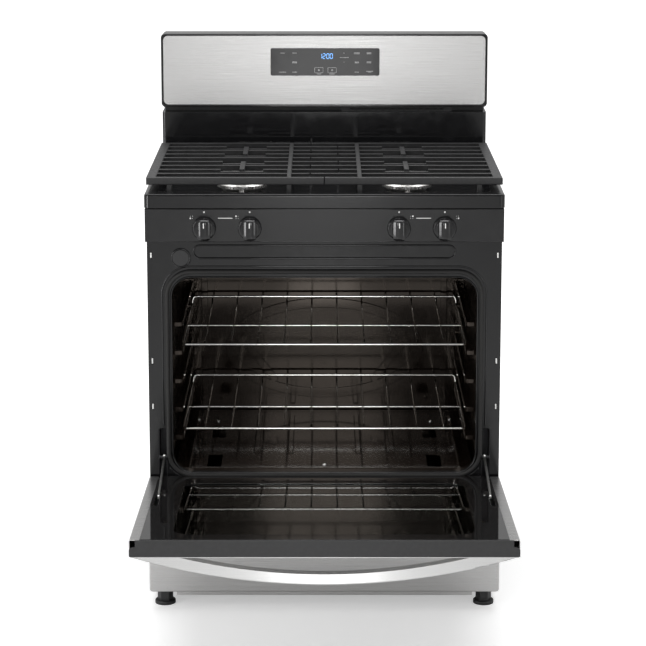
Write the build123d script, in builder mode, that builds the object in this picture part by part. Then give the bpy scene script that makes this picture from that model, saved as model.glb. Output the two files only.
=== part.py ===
from build123d import *
import os
from math import cos, radians, sin

# A 30 inch freestanding gas range: four open burners, an oven with a drop-down door, a storage drawer.
# Millimetres. +Z up, the front faces -Y, x = 0 is the middle and z = 0 the floor. It is drawn with the
# oven door open on its stop. The origin lies under the middle of that open shape.

os.makedirs("parts", exist_ok=True)

# Driving dimensions
WIDTH = 758.8              # over the cooktop and the backguard
HEIGHT = 1190.6            # floor to the top of the backguard
BODY_DEPTH = 655.6         # cooktop's front lip to the back of the range
RIM_Z = 914.0              # top of the cooktop's rim
OPEN_ANGLE = 86.3          # degrees from closed to the door's open stop
DOOR_TOP = 807.0
DOOR_BOTTOM = 255.0
DOOR_THICK = 34.0
FACE_DEPTH = -6.0          # door's outer face, behind the lip when closed
PIVOT_DEPTH = 10.0         # hinge pin, behind the lip
PIVOT_Z = 274.0
FRAME_DEPTH = 40.0         # front frame's face, behind the lip
DRAWER_TOP = 245.0
SHEET = 1.2                # pressed steel sheet
HALF = WIDTH / 2

# The open door's top edge is the foremost point, so it settles where the middle of the footprint lies.
REACH = (DOOR_TOP - PIVOT_Z) * sin(radians(OPEN_ANGLE)) - (FACE_DEPTH - PIVOT_DEPTH) * cos(radians(OPEN_ANGLE))
LIP_Y = (REACH - PIVOT_DEPTH - BODY_DEPTH) / 2


def back(depth):
    """The y of a point this far behind the cooktop's front lip."""
    return LIP_Y + depth


def facing(depth):
    """A sketch plane facing the front, this far behind the lip: local x is X and local y is Z."""
    return Plane.XZ.offset(-back(depth))


def save(shape, label):
    """Name a finished piece and write its STEP file."""
    shape.label = label
    export_step(shape, f"parts/{label}.step")


DOOR_AXIS = Axis((0, back(PIVOT_DEPTH), PIVOT_Z), (1, 0, 0))


def opened(shape):
    """A door piece, drawn closed, swung down to its open stop."""
    return shape.rotate(DOOR_AXIS, OPEN_ANGLE)


def rod(start, end, radius):
    """A straight round bar between two points."""
    axis = Vector(*end) - Vector(*start)
    with BuildPart(mode=Mode.PRIVATE) as bar:
        with BuildSketch(Plane(start, z_dir=axis)):
            Circle(radius)
        extrude(amount=axis.length)
    return bar.part


def bent_rod(points, radius, bend):
    """A round bar along a line of points, with every corner bent to the same radius."""
    with BuildPart(mode=Mode.PRIVATE) as bar:
        with BuildLine() as route:
            FilletPolyline(*points, radius=bend)
        with BuildSketch(Plane(route.line @ 0, z_dir=route.line % 0)):
            Circle(radius)
        sweep(path=route.line)
    return bar.part


def slab(x0, x1, depth0, depth1, z0, z1):
    """A plain block between two widths, two depths behind the lip and two heights."""
    middle = ((x0 + x1) / 2, back((depth0 + depth1) / 2), (z0 + z1) / 2)
    return Pos(*middle) * Box(abs(x1 - x0), abs(depth1 - depth0), abs(z1 - z0), mode=Mode.PRIVATE)


# ---------------------------------------------------------------- body sheet metal
SIDE_X = 377.5
SIDE_FRONT = 44.0
SIDE_BACK = 650.0
SIDE_Z0 = 30.0
SIDE_Z1 = 883.5
SIDE_FLANGE = 18.0

side_panels = []
for side in (-1, 1):
    with BuildPart() as side_panel:
        with BuildSketch(Plane.XY.offset(SIDE_Z0)):
            with Locations((side * (SIDE_X - SHEET / 2), back((SIDE_FRONT + SIDE_BACK) / 2))):
                Rectangle(SHEET, SIDE_BACK - SIDE_FRONT)
            with Locations((side * (SIDE_X - SIDE_FLANGE / 2), back(SIDE_FRONT + SHEET / 2)),
                           (side * (SIDE_X - SIDE_FLANGE / 2), back(SIDE_BACK - SHEET / 2))):
                Rectangle(SIDE_FLANGE, SHEET)
        extrude(amount=SIDE_Z1 - SIDE_Z0)
        add(slab(side * (SIDE_X - SIDE_FLANGE), side * SIDE_X, SIDE_FRONT, SIDE_BACK, SIDE_Z0, SIDE_Z0 + SHEET))
    side_panels.append(side_panel.part)
save(Compound(side_panels), "side_panels")

# Base frame: two side rails, a front and a rear cross rail, each a solid of its own
RAIL_Z0 = 41.0
RAIL_Z1 = 58.0
RAIL_OUTER_X = 359.0
RAIL_INNER_X = 341.0
RAIL_FRONT = 26.0
RAIL_BACK = 640.0
base_rails = [
    slab(-RAIL_OUTER_X, -RAIL_INNER_X, RAIL_FRONT, RAIL_BACK, RAIL_Z0, RAIL_Z1),
    slab(RAIL_INNER_X, RAIL_OUTER_X, RAIL_FRONT, RAIL_BACK, RAIL_Z0, RAIL_Z1),
    slab(-RAIL_INNER_X, RAIL_INNER_X, RAIL_BACK - 28, RAIL_BACK, RAIL_Z0, RAIL_Z1),
]
save(Compound(base_rails), "base_frame")

# Levelling legs: a moulded foot, a hexagonal socket and a threaded stem up into the rail
LEG_X = 348.0
LEG_DEPTHS = (48.0, 610.0)
legs = []
for leg_x in (-LEG_X, LEG_X):
    for leg_depth in LEG_DEPTHS:
        with BuildPart() as leg:
            with BuildSketch(Plane((leg_x, back(leg_depth), 0))):
                Circle(22.5)
            extrude(amount=8)
            fillet(leg.edges().group_by(Axis.Z)[-1], 2.5)
            with BuildSketch(Plane((leg_x, back(leg_depth), 8))):
                RegularPolygon(17.0, 6)
            extrude(amount=22)
            with BuildSketch(Plane((leg_x, back(leg_depth), 30))):
                Circle(4.8)
            extrude(amount=RAIL_Z0 - 30)
        legs.append(leg.part)
save(Compound(legs), "levelling_legs")

# Back panel of the body, with two rows of cooling slots and the holes for the power and gas inlets
GLAND = (255.0, 150.0)
GAS_PIPE_X = 340.0
GAS_PIPE_DEPTH = 592.0
GAS_INLET_Z = 160.0
BODY_BACK = BODY_DEPTH - 4.4
with BuildPart() as back_panel:
    with BuildSketch(facing(BODY_BACK)):
        with Locations((0, 470)):
            Rectangle(2 * (SIDE_X - 1.5), 820)
        with Locations(GLAND):
            Circle(11.2, mode=Mode.SUBTRACT)
        with Locations((GAS_PIPE_X, GAS_INLET_Z)):
            Circle(18, mode=Mode.SUBTRACT)
        with Locations((0, 800), (0, 130)):
            with GridLocations(60, 0, 10, 1):
                SlotOverall(38, 6, rotation=90, mode=Mode.SUBTRACT)
    extrude(amount=-SHEET)
    with BuildSketch(facing(BODY_BACK + SHEET)):
        with Locations((-190, 460), (190, 460)):
            RectangleRounded(300, 420, 30)
            RectangleRounded(276, 396, 20, mode=Mode.SUBTRACT)
    extrude(amount=-1.6)
save(back_panel.part, "back_panel")

# ---------------------------------------------------------------- front frame
MOUTH_X = 326.0
MOUTH_Z0 = 297.5
MOUTH_Z1 = 727.6
MOUTH_R = 43.0
MOUTH_MID = (MOUTH_Z0 + MOUTH_Z1) / 2
FRAME_X = 377.0
FRAME_Z0 = 240.0
FRAME_Z1 = 810.0
FRAME_THICK = 3.0
HINGE_X = 349.0
POCKET_Z0 = 262.0
POCKET_Z1 = 396.0
RING_Z0 = 285.4
RING_Z1 = 750.8
PLUG = (-305.0, 770.4)

with BuildPart() as front_frame:
    with BuildSketch(facing(FRAME_DEPTH)):
        with Locations((0, (FRAME_Z0 + FRAME_Z1) / 2)):
            Rectangle(2 * FRAME_X, FRAME_Z1 - FRAME_Z0)
        with Locations((0, MOUTH_MID)):
            RectangleRounded(2 * MOUTH_X, MOUTH_Z1 - MOUTH_Z0, MOUTH_R, mode=Mode.SUBTRACT)
        for side in (-1, 1):
            with Locations((side * (HINGE_X - 1), (POCKET_Z0 + POCKET_Z1) / 2)):
                RectangleRounded(18, POCKET_Z1 - POCKET_Z0, 6, mode=Mode.SUBTRACT)
            with Locations((side * 368.5, 776), (side * 368.5, 545), (side * 368.5, 444.5)):
                SlotOverall(15, 4.4, rotation=90, mode=Mode.SUBTRACT)
        with Locations(PLUG):
            Circle(14.2, mode=Mode.SUBTRACT)
    extrude(amount=-FRAME_THICK)
    # The face is pressed in along the top channel, round the plug and in a band round the mouth
    with BuildSketch(facing(FRAME_DEPTH)) as pressed:
        with Locations((0, 783.6)):
            SlotOverall(554, 26)
    extrude(amount=-1.8, mode=Mode.SUBTRACT)
    fillet(front_frame.edges().filter_by_position(Axis.Y, back(FRAME_DEPTH) - 0.1, back(FRAME_DEPTH) + 0.1)
           .filter_by_position(Axis.Z, 770, 797).filter_by_position(Axis.X, -280, 280), 1.2)
    with BuildSketch(facing(FRAME_DEPTH)):
        with Locations((0, (RING_Z0 + RING_Z1) / 2)):
            RectangleRounded(690, RING_Z1 - RING_Z0, 60)
        with Locations((0, MOUTH_MID)):
            RectangleRounded(2 * MOUTH_X - 2, MOUTH_Z1 - MOUTH_Z0 - 2, MOUTH_R, mode=Mode.SUBTRACT)
    extrude(amount=-1.6, mode=Mode.SUBTRACT)
    # Turned-in edge round the mouth and turned-back sides
    with BuildSketch(facing(FRAME_DEPTH + 1.6)):
        with Locations((0, MOUTH_MID)):
            RectangleRounded(2 * MOUTH_X + 2, MOUTH_Z1 - MOUTH_Z0 + 2, MOUTH_R + 1)
            RectangleRounded(2 * MOUTH_X, MOUTH_Z1 - MOUTH_Z0, MOUTH_R, mode=Mode.SUBTRACT)
    extrude(amount=-14)
save(front_frame.part, "front_frame")

with BuildPart() as frame_plug:
    with BuildSketch(facing(FRAME_DEPTH + 8)):
        with Locations(PLUG):
            Circle(13.9)
    extrude(amount=8)
    with BuildSketch(facing(FRAME_DEPTH)):
        with Locations(PLUG):
            Circle(18)
    extrude(amount=2.4)
    fillet(frame_plug.edges().group_by(Axis.Y)[0], 1.6)
save(frame_plug.part, "frame_plug")

# Door gasket: a round braided rope lying in the pressed band round the mouth
GASKET_R = 4.6
gasket_plane = facing(FRAME_DEPTH + 1.6 - GASKET_R)
gasket_loop = gasket_plane * Pos(0, (RING_Z0 + RING_Z1) / 2 - 2) * RectangleRounded(
    2 * (MOUTH_X + 9.5), RING_Z1 - RING_Z0 - 17, 52)
gasket_line = gasket_loop.face().outer_wire()
with BuildPart() as door_gasket:
    with BuildSketch(Plane(gasket_line @ 0, z_dir=gasket_line % 0)):
        Circle(GASKET_R)
    sweep(path=gasket_line)
save(door_gasket.part, "door_gasket")

# ---------------------------------------------------------------- oven
LINER_X = 329.0
LINER_Z0 = 250.0
LINER_Z1 = 752.0
LINER_R = 45.0
LINER_FRONT = FRAME_DEPTH + FRAME_THICK
LINER_BACK = 548.0
LINER_MID = (LINER_Z0 + LINER_Z1) / 2
FLOOR_Z = 303.0
RACK_LEVELS = (374.0, 437.0, 500.0, 563.0, 626.0)
RACK_X = 309.0
GUIDE_REACH = 24.0         # how far a pressed guide stands into the oven
RACK_WIRE = 2.6            # radius of the rack's frame wire
BACK_RING = (0.0, 453.0)
PRESSED = 4.0              # depth of the back wall's pressed ribs

with BuildPart() as oven_liner:
    with BuildSketch(facing(LINER_FRONT)):
        with Locations((0, LINER_MID)):
            RectangleRounded(2 * (LINER_X + SHEET), LINER_Z1 - LINER_Z0 + 2 * SHEET, LINER_R + SHEET)
    extrude(amount=-(LINER_BACK + SHEET - LINER_FRONT))
    with BuildSketch(facing(LINER_FRONT)):
        with Locations((0, LINER_MID)):
            RectangleRounded(2 * LINER_X, LINER_Z1 - LINER_Z0, LINER_R)
    extrude(amount=-(LINER_BACK - LINER_FRONT), mode=Mode.SUBTRACT)
    # Pressed back wall: an oval ring with two slanted ribs under it, and an upright rib near each side
    with BuildSketch(facing(LINER_BACK)):
        with Locations(BACK_RING):
            Ellipse(232, 120)
            Ellipse(206, 98, mode=Mode.SUBTRACT)
        with Locations((-281, LINER_MID), (281, LINER_MID)):
            SlotOverall(LINER_Z1 - LINER_Z0 - 60, 14, rotation=90)
        with Locations((-150, 420)):
            SlotOverall(120, 16, rotation=-52)
        with Locations((150, 420)):
            SlotOverall(120, 16, rotation=52)
    extrude(amount=PRESSED)
    # Pressed rack guides: a long ledge each side at every level, with a stop at its back end
    for side in (-1, 1):
        for level in RACK_LEVELS:
            ledge_z = level - RACK_WIRE - 0.4
            with BuildSketch(Plane.XY.offset(ledge_z - 9)):
                with Locations((side * (LINER_X - GUIDE_REACH / 2 + 0.4), back(290))):
                    RectangleRounded(GUIDE_REACH + 0.8, 440, 8)
            extrude(amount=9)
            with BuildSketch(Plane.XY.offset(ledge_z)):
                with Locations((side * (LINER_X - GUIDE_REACH / 2 + 0.4), back(536))):
                    Rectangle(GUIDE_REACH + 0.8, 22)
            extrude(amount=16)
save(oven_liner.part, "oven_liner")

# Removable oven floor: a shallow pan with turned-down edges, slots at the sides for the burner's heat
FLOOR_X = 322.0
FLOOR_FRONT = 56.0
FLOOR_BACK = 540.0
FLOOR_SCREWS = ((-247, 436), (247, 436), (-292, 452), (292, 452), (0, 78))
with BuildPart() as oven_floor:
    with BuildSketch(Plane.XY.offset(FLOOR_Z - 1.5)):
        with Locations((0, back((FLOOR_FRONT + FLOOR_BACK) / 2))):
            RectangleRounded(2 * FLOOR_X, FLOOR_BACK - FLOOR_FRONT, 12)
        for side in (-1, 1):
            with Locations((side * 240, back(112)), (side * 240, back(345))):
                RectangleRounded(31, 96, 5, mode=Mode.SUBTRACT)
        with Locations(*[(x, back(depth)) for x, depth in FLOOR_SCREWS]):
            Circle(2.8, mode=Mode.SUBTRACT)
    extrude(amount=1.5)
    with BuildSketch(Plane.XY.offset(FLOOR_Z - 1.5 - 11)):
        with Locations((0, back((FLOOR_FRONT + FLOOR_BACK) / 2))):
            RectangleRounded(2 * FLOOR_X, FLOOR_BACK - FLOOR_FRONT, 12)
            RectangleRounded(2 * FLOOR_X - 3, FLOOR_BACK - FLOOR_FRONT - 3, 10.5, mode=Mode.SUBTRACT)
    extrude(amount=11)
    # Low ribs pressed up along the floor, and a shallow raised strip by the front screw
    for x in (-150, -75, 75, 150):
        with BuildSketch(Plane.XY.offset(FLOOR_Z)):
            with Locations((x, back(330))):
                SlotOverall(330, 12, rotation=90)
        extrude(amount=1.6, taper=35)
save(oven_floor.part, "oven_floor")

floor_screws = []
for x, depth in FLOOR_SCREWS:
    with BuildPart() as floor_screw:
        with BuildSketch(Plane((x, back(depth), FLOOR_Z))):
            Circle(5.2)
        extrude(amount=2.6)
        fillet(floor_screw.edges().group_by(Axis.Z)[-1], 1.2)
        with BuildSketch(Plane((x, back(depth), FLOOR_Z + 2.6))):
            Rectangle(6.4, 1.2)
            Rectangle(1.2, 6.4)
        extrude(amount=-1.3, mode=Mode.SUBTRACT)
        with BuildSketch(Plane((x, back(depth), FLOOR_Z))):
            Circle(2.3)
        extrude(amount=-9)
    floor_screws.append(floor_screw.part)
save(Compound(floor_screws), "oven_floor_screws")

# Bake burner under the floor and broil burner at the top: a tube with a row of ports down each side
def tube_burner(height, front, rear, radius):
    with BuildPart() as burner:
        with BuildSketch(facing(rear)):
            with Locations((0, height)):
                Circle(radius)
        extrude(amount=rear - front)
        fillet(burner.edges().group_by(Axis.Y)[0], radius * 0.6)
        with BuildSketch(facing(rear)):
            with Locations((0, height)):
                Rectangle(2.6 * radius, 3)
        extrude(amount=rear - front - 30)
        for port in range(22):
            with BuildSketch(Plane.YZ.offset(-1.4 * radius)):
                with Locations((back(front + 40 + port * (rear - front - 90) / 21), height)):
                    Circle(1.1)
            extrude(amount=2.8 * radius, mode=Mode.SUBTRACT)
    return burner.part


BAKE_Z = 276.0
BROIL_Z = 732.0
save(Compound([tube_burner(BAKE_Z, 110, LINER_BACK - 0.5, 13), tube_burner(BROIL_Z, 110, LINER_BACK - 0.5, 11)]),
     "oven_burners")

# Igniters: a glowing bar in its holder beside each oven burner; the burner electrodes join them below
igniters = []
for height, x in ((BAKE_Z, 26), (BROIL_Z, 26)):
    with BuildPart() as igniter:
        with BuildSketch(facing(300)):
            with Locations((x, height)):
                Rectangle(9, 12)
        extrude(amount=-62)
        with BuildSketch(facing(362)):
            with Locations((x, height)):
                Circle(8)
        extrude(amount=-16)
    igniters.append(igniter.part)

# Temperature probe: a thin capillary bulb on two clips at the top of the back wall
save(rod((160, back(LINER_BACK - 0.3), 690), (160, back(LINER_BACK - 70), 690), 3.0), "temperature_probe")

# Insulation: one blanket over the sides, top and back of the liner
WRAP_X = 352.0
WRAP_TOP = 790.0
with BuildPart() as oven_insulation:
    add(slab(-WRAP_X, WRAP_X, FRAME_DEPTH + 42, LINER_BACK + 30, LINER_Z0 + 20, WRAP_TOP))
    with BuildSketch(facing(FRAME_DEPTH)):
        with Locations((0, LINER_MID)):
            RectangleRounded(2 * (LINER_X + SHEET) + 1, LINER_Z1 - LINER_Z0 + 2 * SHEET + 1, LINER_R + 1.7)
    extrude(amount=-(LINER_BACK + SHEET + 0.5 - FRAME_DEPTH), mode=Mode.SUBTRACT)
save(oven_insulation.part, "oven_insulation")

# ---------------------------------------------------------------- racks
RACK_FRONT = 118.0
RACK_DEPTH = 400.0
RACK_WIRE_LIFT = 3.9       # the long wires lie this much above the frame
RACK_LONG_WIRE = 1.9
RACK_BRACE = 185.0         # the cross brace, behind the front wire
RACK_BRACE_WIRE = 2.4
RACK_BACKSTOP = 20.0
RACK_WIRES = 10
RACK_PITCH = 58.0

for name, level in (("lower", RACK_LEVELS[0]), ("upper", RACK_LEVELS[3])):
    rear = RACK_FRONT + RACK_DEPTH
    frame_half = [
        (0, back(RACK_FRONT), level),
        (RACK_X, back(RACK_FRONT), level),
        (RACK_X, back(rear - 4), level),
        (RACK_X - 3, back(rear), level + RACK_BACKSTOP),
        (0, back(rear), level + RACK_BACKSTOP),
    ]
    right_half = bent_rod(frame_half, RACK_WIRE, 8)
    pieces = [right_half, right_half.mirror(Plane.YZ)]
    brace = back(RACK_FRONT + RACK_BRACE)
    pieces.append(rod((-RACK_X, brace, level), (RACK_X, brace, level), RACK_BRACE_WIRE))
    for index in range(RACK_WIRES):
        x = (index - (RACK_WIRES - 1) / 2) * RACK_PITCH
        wire = [
            (x, back(RACK_FRONT), level),
            (x, back(RACK_FRONT + 14), level + RACK_WIRE_LIFT),
            (x, back(rear - 20), level + RACK_WIRE_LIFT),
            (x, back(rear), level + RACK_BACKSTOP),
        ]
        pieces.append(bent_rod(wire, RACK_LONG_WIRE, 8))
    with BuildPart() as oven_rack:
        add(pieces)
    save(oven_rack.part, f"oven_rack_{name}")

# ---------------------------------------------------------------- cooktop
WELL_Z = 895.0             # top of the sunken well
SKIRT_Z = 884.5            # bottom of the cooktop's skirt
PAN_THICK = 2.0
SPLASH_DEPTH = 594.0
COOKTOP_BACK = 592.0
WELL_X = 352.0
WELL_FRONT = 24.0
WELL_BACK = 566.0
WELL_R = 38.0
BURNER_X = 178.0
BURNER_DEPTHS = (158.5, 376.5)
BURNERS = [(x, back(depth)) for x in (-BURNER_X, BURNER_X) for depth in BURNER_DEPTHS]
well_centre = (0, back((WELL_FRONT + WELL_BACK) / 2))
pan_centre = (0, back(COOKTOP_BACK / 2))

with BuildPart() as cooktop:
    with BuildSketch(Plane.XY.offset(SKIRT_Z)):
        with Locations(pan_centre):
            RectangleRounded(WIDTH, COOKTOP_BACK, 13)
    extrude(amount=RIM_Z - SKIRT_Z)
    fillet(cooktop.edges().group_by(Axis.Z)[-1], 5)
    # Well, pressed down from the rim with a sloping wall
    with BuildSketch(Plane.XY.offset(RIM_Z)):
        with Locations(well_centre):
            RectangleRounded(2 * WELL_X, WELL_BACK - WELL_FRONT, WELL_R)
    extrude(amount=-(RIM_Z - WELL_Z), taper=20, mode=Mode.SUBTRACT)
    # Hollow underneath: below the well, and up inside the rim
    with BuildSketch(Plane.XY.offset(SKIRT_Z)):
        with Locations(pan_centre):
            RectangleRounded(WIDTH - 2 * PAN_THICK, COOKTOP_BACK - 2 * PAN_THICK, 11)
    extrude(amount=WELL_Z - PAN_THICK - SKIRT_Z, mode=Mode.SUBTRACT)
    with BuildSketch(Plane.XY.offset(SKIRT_Z)):
        with Locations(pan_centre):
            RectangleRounded(WIDTH - 2 * PAN_THICK, COOKTOP_BACK - 2 * PAN_THICK, 11)
        with Locations(well_centre):
            RectangleRounded(2 * WELL_X + 4, WELL_BACK - WELL_FRONT + 4, WELL_R + 2, mode=Mode.SUBTRACT)
    extrude(amount=RIM_Z - PAN_THICK - SKIRT_Z, mode=Mode.SUBTRACT)
    # A raised pad round each burner hole
    with BuildSketch(Plane.XY.offset(WELL_Z)):
        with Locations(*BURNERS):
            Circle(66)
    extrude(amount=1.6, taper=45)
    with BuildSketch(Plane.XY.offset(WELL_Z - PAN_THICK - 0.5)):
        with Locations(*BURNERS):
            Circle(27)
    extrude(amount=5, mode=Mode.SUBTRACT)
save(cooktop.part, "cooktop")

# Burners: a base with its throat, a head ringed with flame ports, a cap, and an igniter in front
BASE_Z = WELL_Z + 1.6
HEAD_Z = 906.0
CAP_Z = 915.0
bases = []
heads = []
caps = []
for x, y in BURNERS:
    with BuildPart() as base:
        with BuildSketch(Plane((x, y, BASE_Z))):
            Circle(41)
        extrude(amount=HEAD_Z - BASE_Z, taper=-28)
        with BuildSketch(Plane((x, y, BASE_Z))):
            Circle(26.5)
        extrude(amount=-30)
        with BuildSketch(Plane((x, y, BASE_Z - 30))):
            Circle(13)
        extrude(amount=HEAD_Z - BASE_Z + 30, mode=Mode.SUBTRACT)
        with BuildSketch(Plane((x, y - 47, HEAD_Z))):
            RectangleRounded(11, 16, 3)
        extrude(amount=-(HEAD_Z - BASE_Z), mode=Mode.SUBTRACT)
    bases.append(base.part)
    with BuildPart() as head:
        with BuildSketch(Plane((x, y, HEAD_Z))):
            Circle(53)
            Circle(30, mode=Mode.SUBTRACT)
        extrude(amount=CAP_Z - HEAD_Z)
        chamfer(head.edges().group_by(Axis.Z)[-1].sort_by(SortBy.LENGTH)[-1], 3.2)
        with BuildSketch(Plane((x, y, HEAD_Z))):
            with PolarLocations(51, 40):
                Rectangle(11, 2.6)
        extrude(amount=4.6, mode=Mode.SUBTRACT)
    heads.append(head.part)
    with BuildPart() as cap:
        with BuildSketch(Plane((x, y, CAP_Z))):
            Circle(43)
        extrude(amount=6)
        fillet(cap.edges().group_by(Axis.Z)[-1], 3.5)
        fillet(cap.edges().group_by(Axis.Z)[0], 1.0)
    caps.append(cap.part)
    with BuildPart() as igniter:
        with BuildSketch(Plane((x, y - 48.5, BASE_Z))):
            Circle(3.4)
        extrude(amount=6)
        with BuildSketch(Plane((x, y - 48.5, BASE_Z + 6))):
            Circle(1.3)
        extrude(amount=2.6)
    igniters.append(igniter.part)
save(Compound(bases), "burner_bases")
save(Compound(heads), "burner_heads")
save(Compound(caps), "burner_caps")
save(Compound(igniters), "igniters")

# Grates: a left and a right casting. Each has an outer side rail, a tall front rail, a rib towards the
# middle, and nine cross bars whose inner ends step in and out along the seam between the castings.
GRATE_TOP = 942.0
GRATE_DEEP = 15.0
GRATE_X = 377.0
GRATE_FRONT = 42.0
ROW_PITCH = 54.5
ROW_0 = 540.0
ROW_WIDTH = 10.0
SEAM = 30.5
SEAM_GAP = 3.0
DIP_HALF = 46.0
DIP = 5.0


def grate_bar(x0, x1, depth, width, top, deep):
    """A cast bar across the range, wider at its foot, with its top corners rounded."""
    with BuildPart(mode=Mode.PRIVATE) as bar:
        with BuildSketch(Plane.YZ.offset(min(x0, x1))):
            with BuildLine():
                Polyline(
                    (back(depth) - width / 2, top),
                    (back(depth) - width / 2 + 1, top - deep),
                    (back(depth) + width / 2 - 1, top - deep),
                    (back(depth) + width / 2, top),
                    close=True,
                )
            profile = make_face()
            fillet(profile.vertices().sort_by(Axis.Z)[-2:], 2)
        extrude(amount=abs(x1 - x0))
    return bar.part


def grate_rib(x, depth0, depth1, width, top, deep):
    """A cast bar from front to back, with its top corners rounded."""
    with BuildPart(mode=Mode.PRIVATE) as bar:
        with BuildSketch(facing(depth1)):
            with Locations((x, top - deep / 2)):
                section = Rectangle(width, deep)
            fillet(section.vertices().sort_by(Axis.Z)[-2:], 2)
        extrude(amount=depth1 - depth0)
    return bar.part


for side, name in ((-1, "left"), (1, "right")):
    outer = side * GRATE_X
    bars = []
    for row in range(9):
        depth = ROW_0 - row * ROW_PITCH
        # Even rows of both castings end on the left of the middle, odd rows on its right
        seam_x = -SEAM if row % 2 == 0 else SEAM
        end = seam_x + side * SEAM_GAP / 2
        if row % 2 == 0:
            bars.append(grate_bar(outer - side * 8, end, depth, ROW_WIDTH, GRATE_TOP, 12))
        else:
            near = side * (BURNER_X - DIP_HALF)
            far = side * (BURNER_X + DIP_HALF)
            bars.append(grate_bar(outer - side * 8, far, depth, ROW_WIDTH, GRATE_TOP, 12))
            bars.append(grate_bar(far + side * 3, near - side * 3, depth, ROW_WIDTH, GRATE_TOP - DIP, 9))
            bars.append(grate_bar(near, end, depth, ROW_WIDTH, GRATE_TOP, 12))
    bars.append(grate_bar(outer - side * 2, side * SEAM_GAP / 2, GRATE_FRONT + 7.5, 15, GRATE_TOP, GRATE_DEEP))
    bars.append(grate_rib(outer - side * 10, GRATE_FRONT + 2, ROW_0 + 5, 20, GRATE_TOP, GRATE_DEEP))
    bars.append(grate_rib(side * 75, GRATE_FRONT + 8, ROW_0 + 4, 9, GRATE_TOP, 13))
    # Fingers over the burners, from row 1 to row 3 and from row 5 to row 7
    for row in (1, 5):
        start = ROW_0 - (row + 2) * ROW_PITCH
        bars.append(grate_rib(side * BURNER_X, start, start + 2 * ROW_PITCH, 11, GRATE_TOP, 11))
    # Feet standing on the cooktop's well
    for x in (328, 75):
        for depth in (GRATE_FRONT + 8, ROW_0 - 1):
            bars.append(slab(side * (x - 5), side * (x + 5), depth - 6, depth + 5, WELL_Z + 0.1, GRATE_TOP - 8))
    with BuildPart() as grate:
        add(bars)
    save(grate.part, f"grate_{name}")

# ---------------------------------------------------------------- gas system
KNOB_Z = 841.0
KNOB_XS = {"front_left": -253.0, "rear_left": -157.0, "rear_right": 157.0, "front_right": 253.0}
PANEL_FACE = 4.0
PANEL_Z0 = 811.5
PANEL_Z1 = 882.5
STEM_R = 3.9
MANIFOLD_Z = 841.0
MANIFOLD_DEPTH = 56.0
MANIFOLD_R = 9.5

manifold_route = [
    (-290, back(MANIFOLD_DEPTH), MANIFOLD_Z),
    (GAS_PIPE_X, back(MANIFOLD_DEPTH), MANIFOLD_Z),
    (GAS_PIPE_X, back(GAS_PIPE_DEPTH), MANIFOLD_Z),
    (GAS_PIPE_X, back(GAS_PIPE_DEPTH), GAS_INLET_Z + 30),
]
save(bent_rod(manifold_route, MANIFOLD_R, 24), "gas_manifold")

valves = []
for x in KNOB_XS.values():
    with BuildPart() as valve:
        add(slab(x - 13, x + 13, 21, MANIFOLD_DEPTH - MANIFOLD_R - 0.3, KNOB_Z - 15, KNOB_Z + 15))
        chamfer(valve.edges().filter_by(Axis.Y), 4)
        with BuildSketch(facing(21)):
            with Locations((x, KNOB_Z)):
                Circle(STEM_R + 0.35)
        extrude(amount=-14, mode=Mode.SUBTRACT)
    valves.append(valve.part)

# Supply tubes: from each valve's top, back under the well, to the throat of its burner
TUBE_Z = 862.0
tubes = []
for x, burner_x, burner_depth in (
    (-253, -178, 158.5),
    (-157, -178, 376.5),
    (157, 178, 376.5),
    (253, 178, 158.5),
):
    tubes.append(bent_rod([
        (x, back(34), KNOB_Z + 15.2),
        (x, back(34), TUBE_Z),
        (x, back(78), TUBE_Z),
        (burner_x + (x > burner_x) * 30 - (x < burner_x) * 30, back(burner_depth - 20), TUBE_Z - 3),
    ], 3.2, 5))
save(Compound(tubes), "supply_tubes")

# Pressure regulator at the foot of the pipe, with its threaded inlet facing back
INLET_R = 10.5
INLET_BORE_R = 7.0
INLET_LONG = 24.0
INLET_FLAT = 14.0          # half across the corners of the inlet's hexagon
INLET_HEX = 8.0
REGULATOR_HALF = 22.0
REGULATOR_CAP = 20.0
with BuildPart() as pressure_regulator:
    with BuildSketch(Plane((GAS_PIPE_X, back(GAS_PIPE_DEPTH), GAS_INLET_Z - REGULATOR_HALF))):
        RectangleRounded(2 * REGULATOR_CAP, 2 * REGULATOR_HALF, 6)
    extrude(amount=51.5)
    with BuildSketch(Plane.YZ.offset(GAS_PIPE_X - REGULATOR_CAP)):
        with Locations((back(GAS_PIPE_DEPTH), GAS_INLET_Z)):
            Circle(REGULATOR_CAP)
    extrude(amount=-22)

inlet_start = GAS_PIPE_DEPTH + REGULATOR_HALF + 0.2
with BuildPart() as gas_inlet:
    with BuildSketch(facing(inlet_start)):
        with Locations((GAS_PIPE_X, GAS_INLET_Z)):
            RegularPolygon(INLET_FLAT, 6)
    extrude(amount=-INLET_HEX)
    with BuildSketch(facing(inlet_start + INLET_HEX)):
        with Locations((GAS_PIPE_X, GAS_INLET_Z)):
            Circle(INLET_R)
    extrude(amount=-INLET_LONG)
    with BuildSketch(facing(inlet_start)):
        with Locations((GAS_PIPE_X, GAS_INLET_Z)):
            Circle(INLET_BORE_R)
    extrude(amount=-(INLET_HEX + INLET_LONG), mode=Mode.SUBTRACT)
save(Compound([pressure_regulator.part, gas_inlet.part]), "pressure_regulator")

# Safety valve behind the oven, beside the burner valves in one node
with BuildPart() as oven_safety_valve:
    add(slab(-46, 6, 580, 612, 262, 290))
    with BuildSketch(Plane.YZ.offset(-46)):
        with Locations((back(596), BAKE_Z)):
            Circle(11)
    extrude(amount=-24)
valves.append(oven_safety_valve.part)
save(Compound(valves), "gas_valves")

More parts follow.
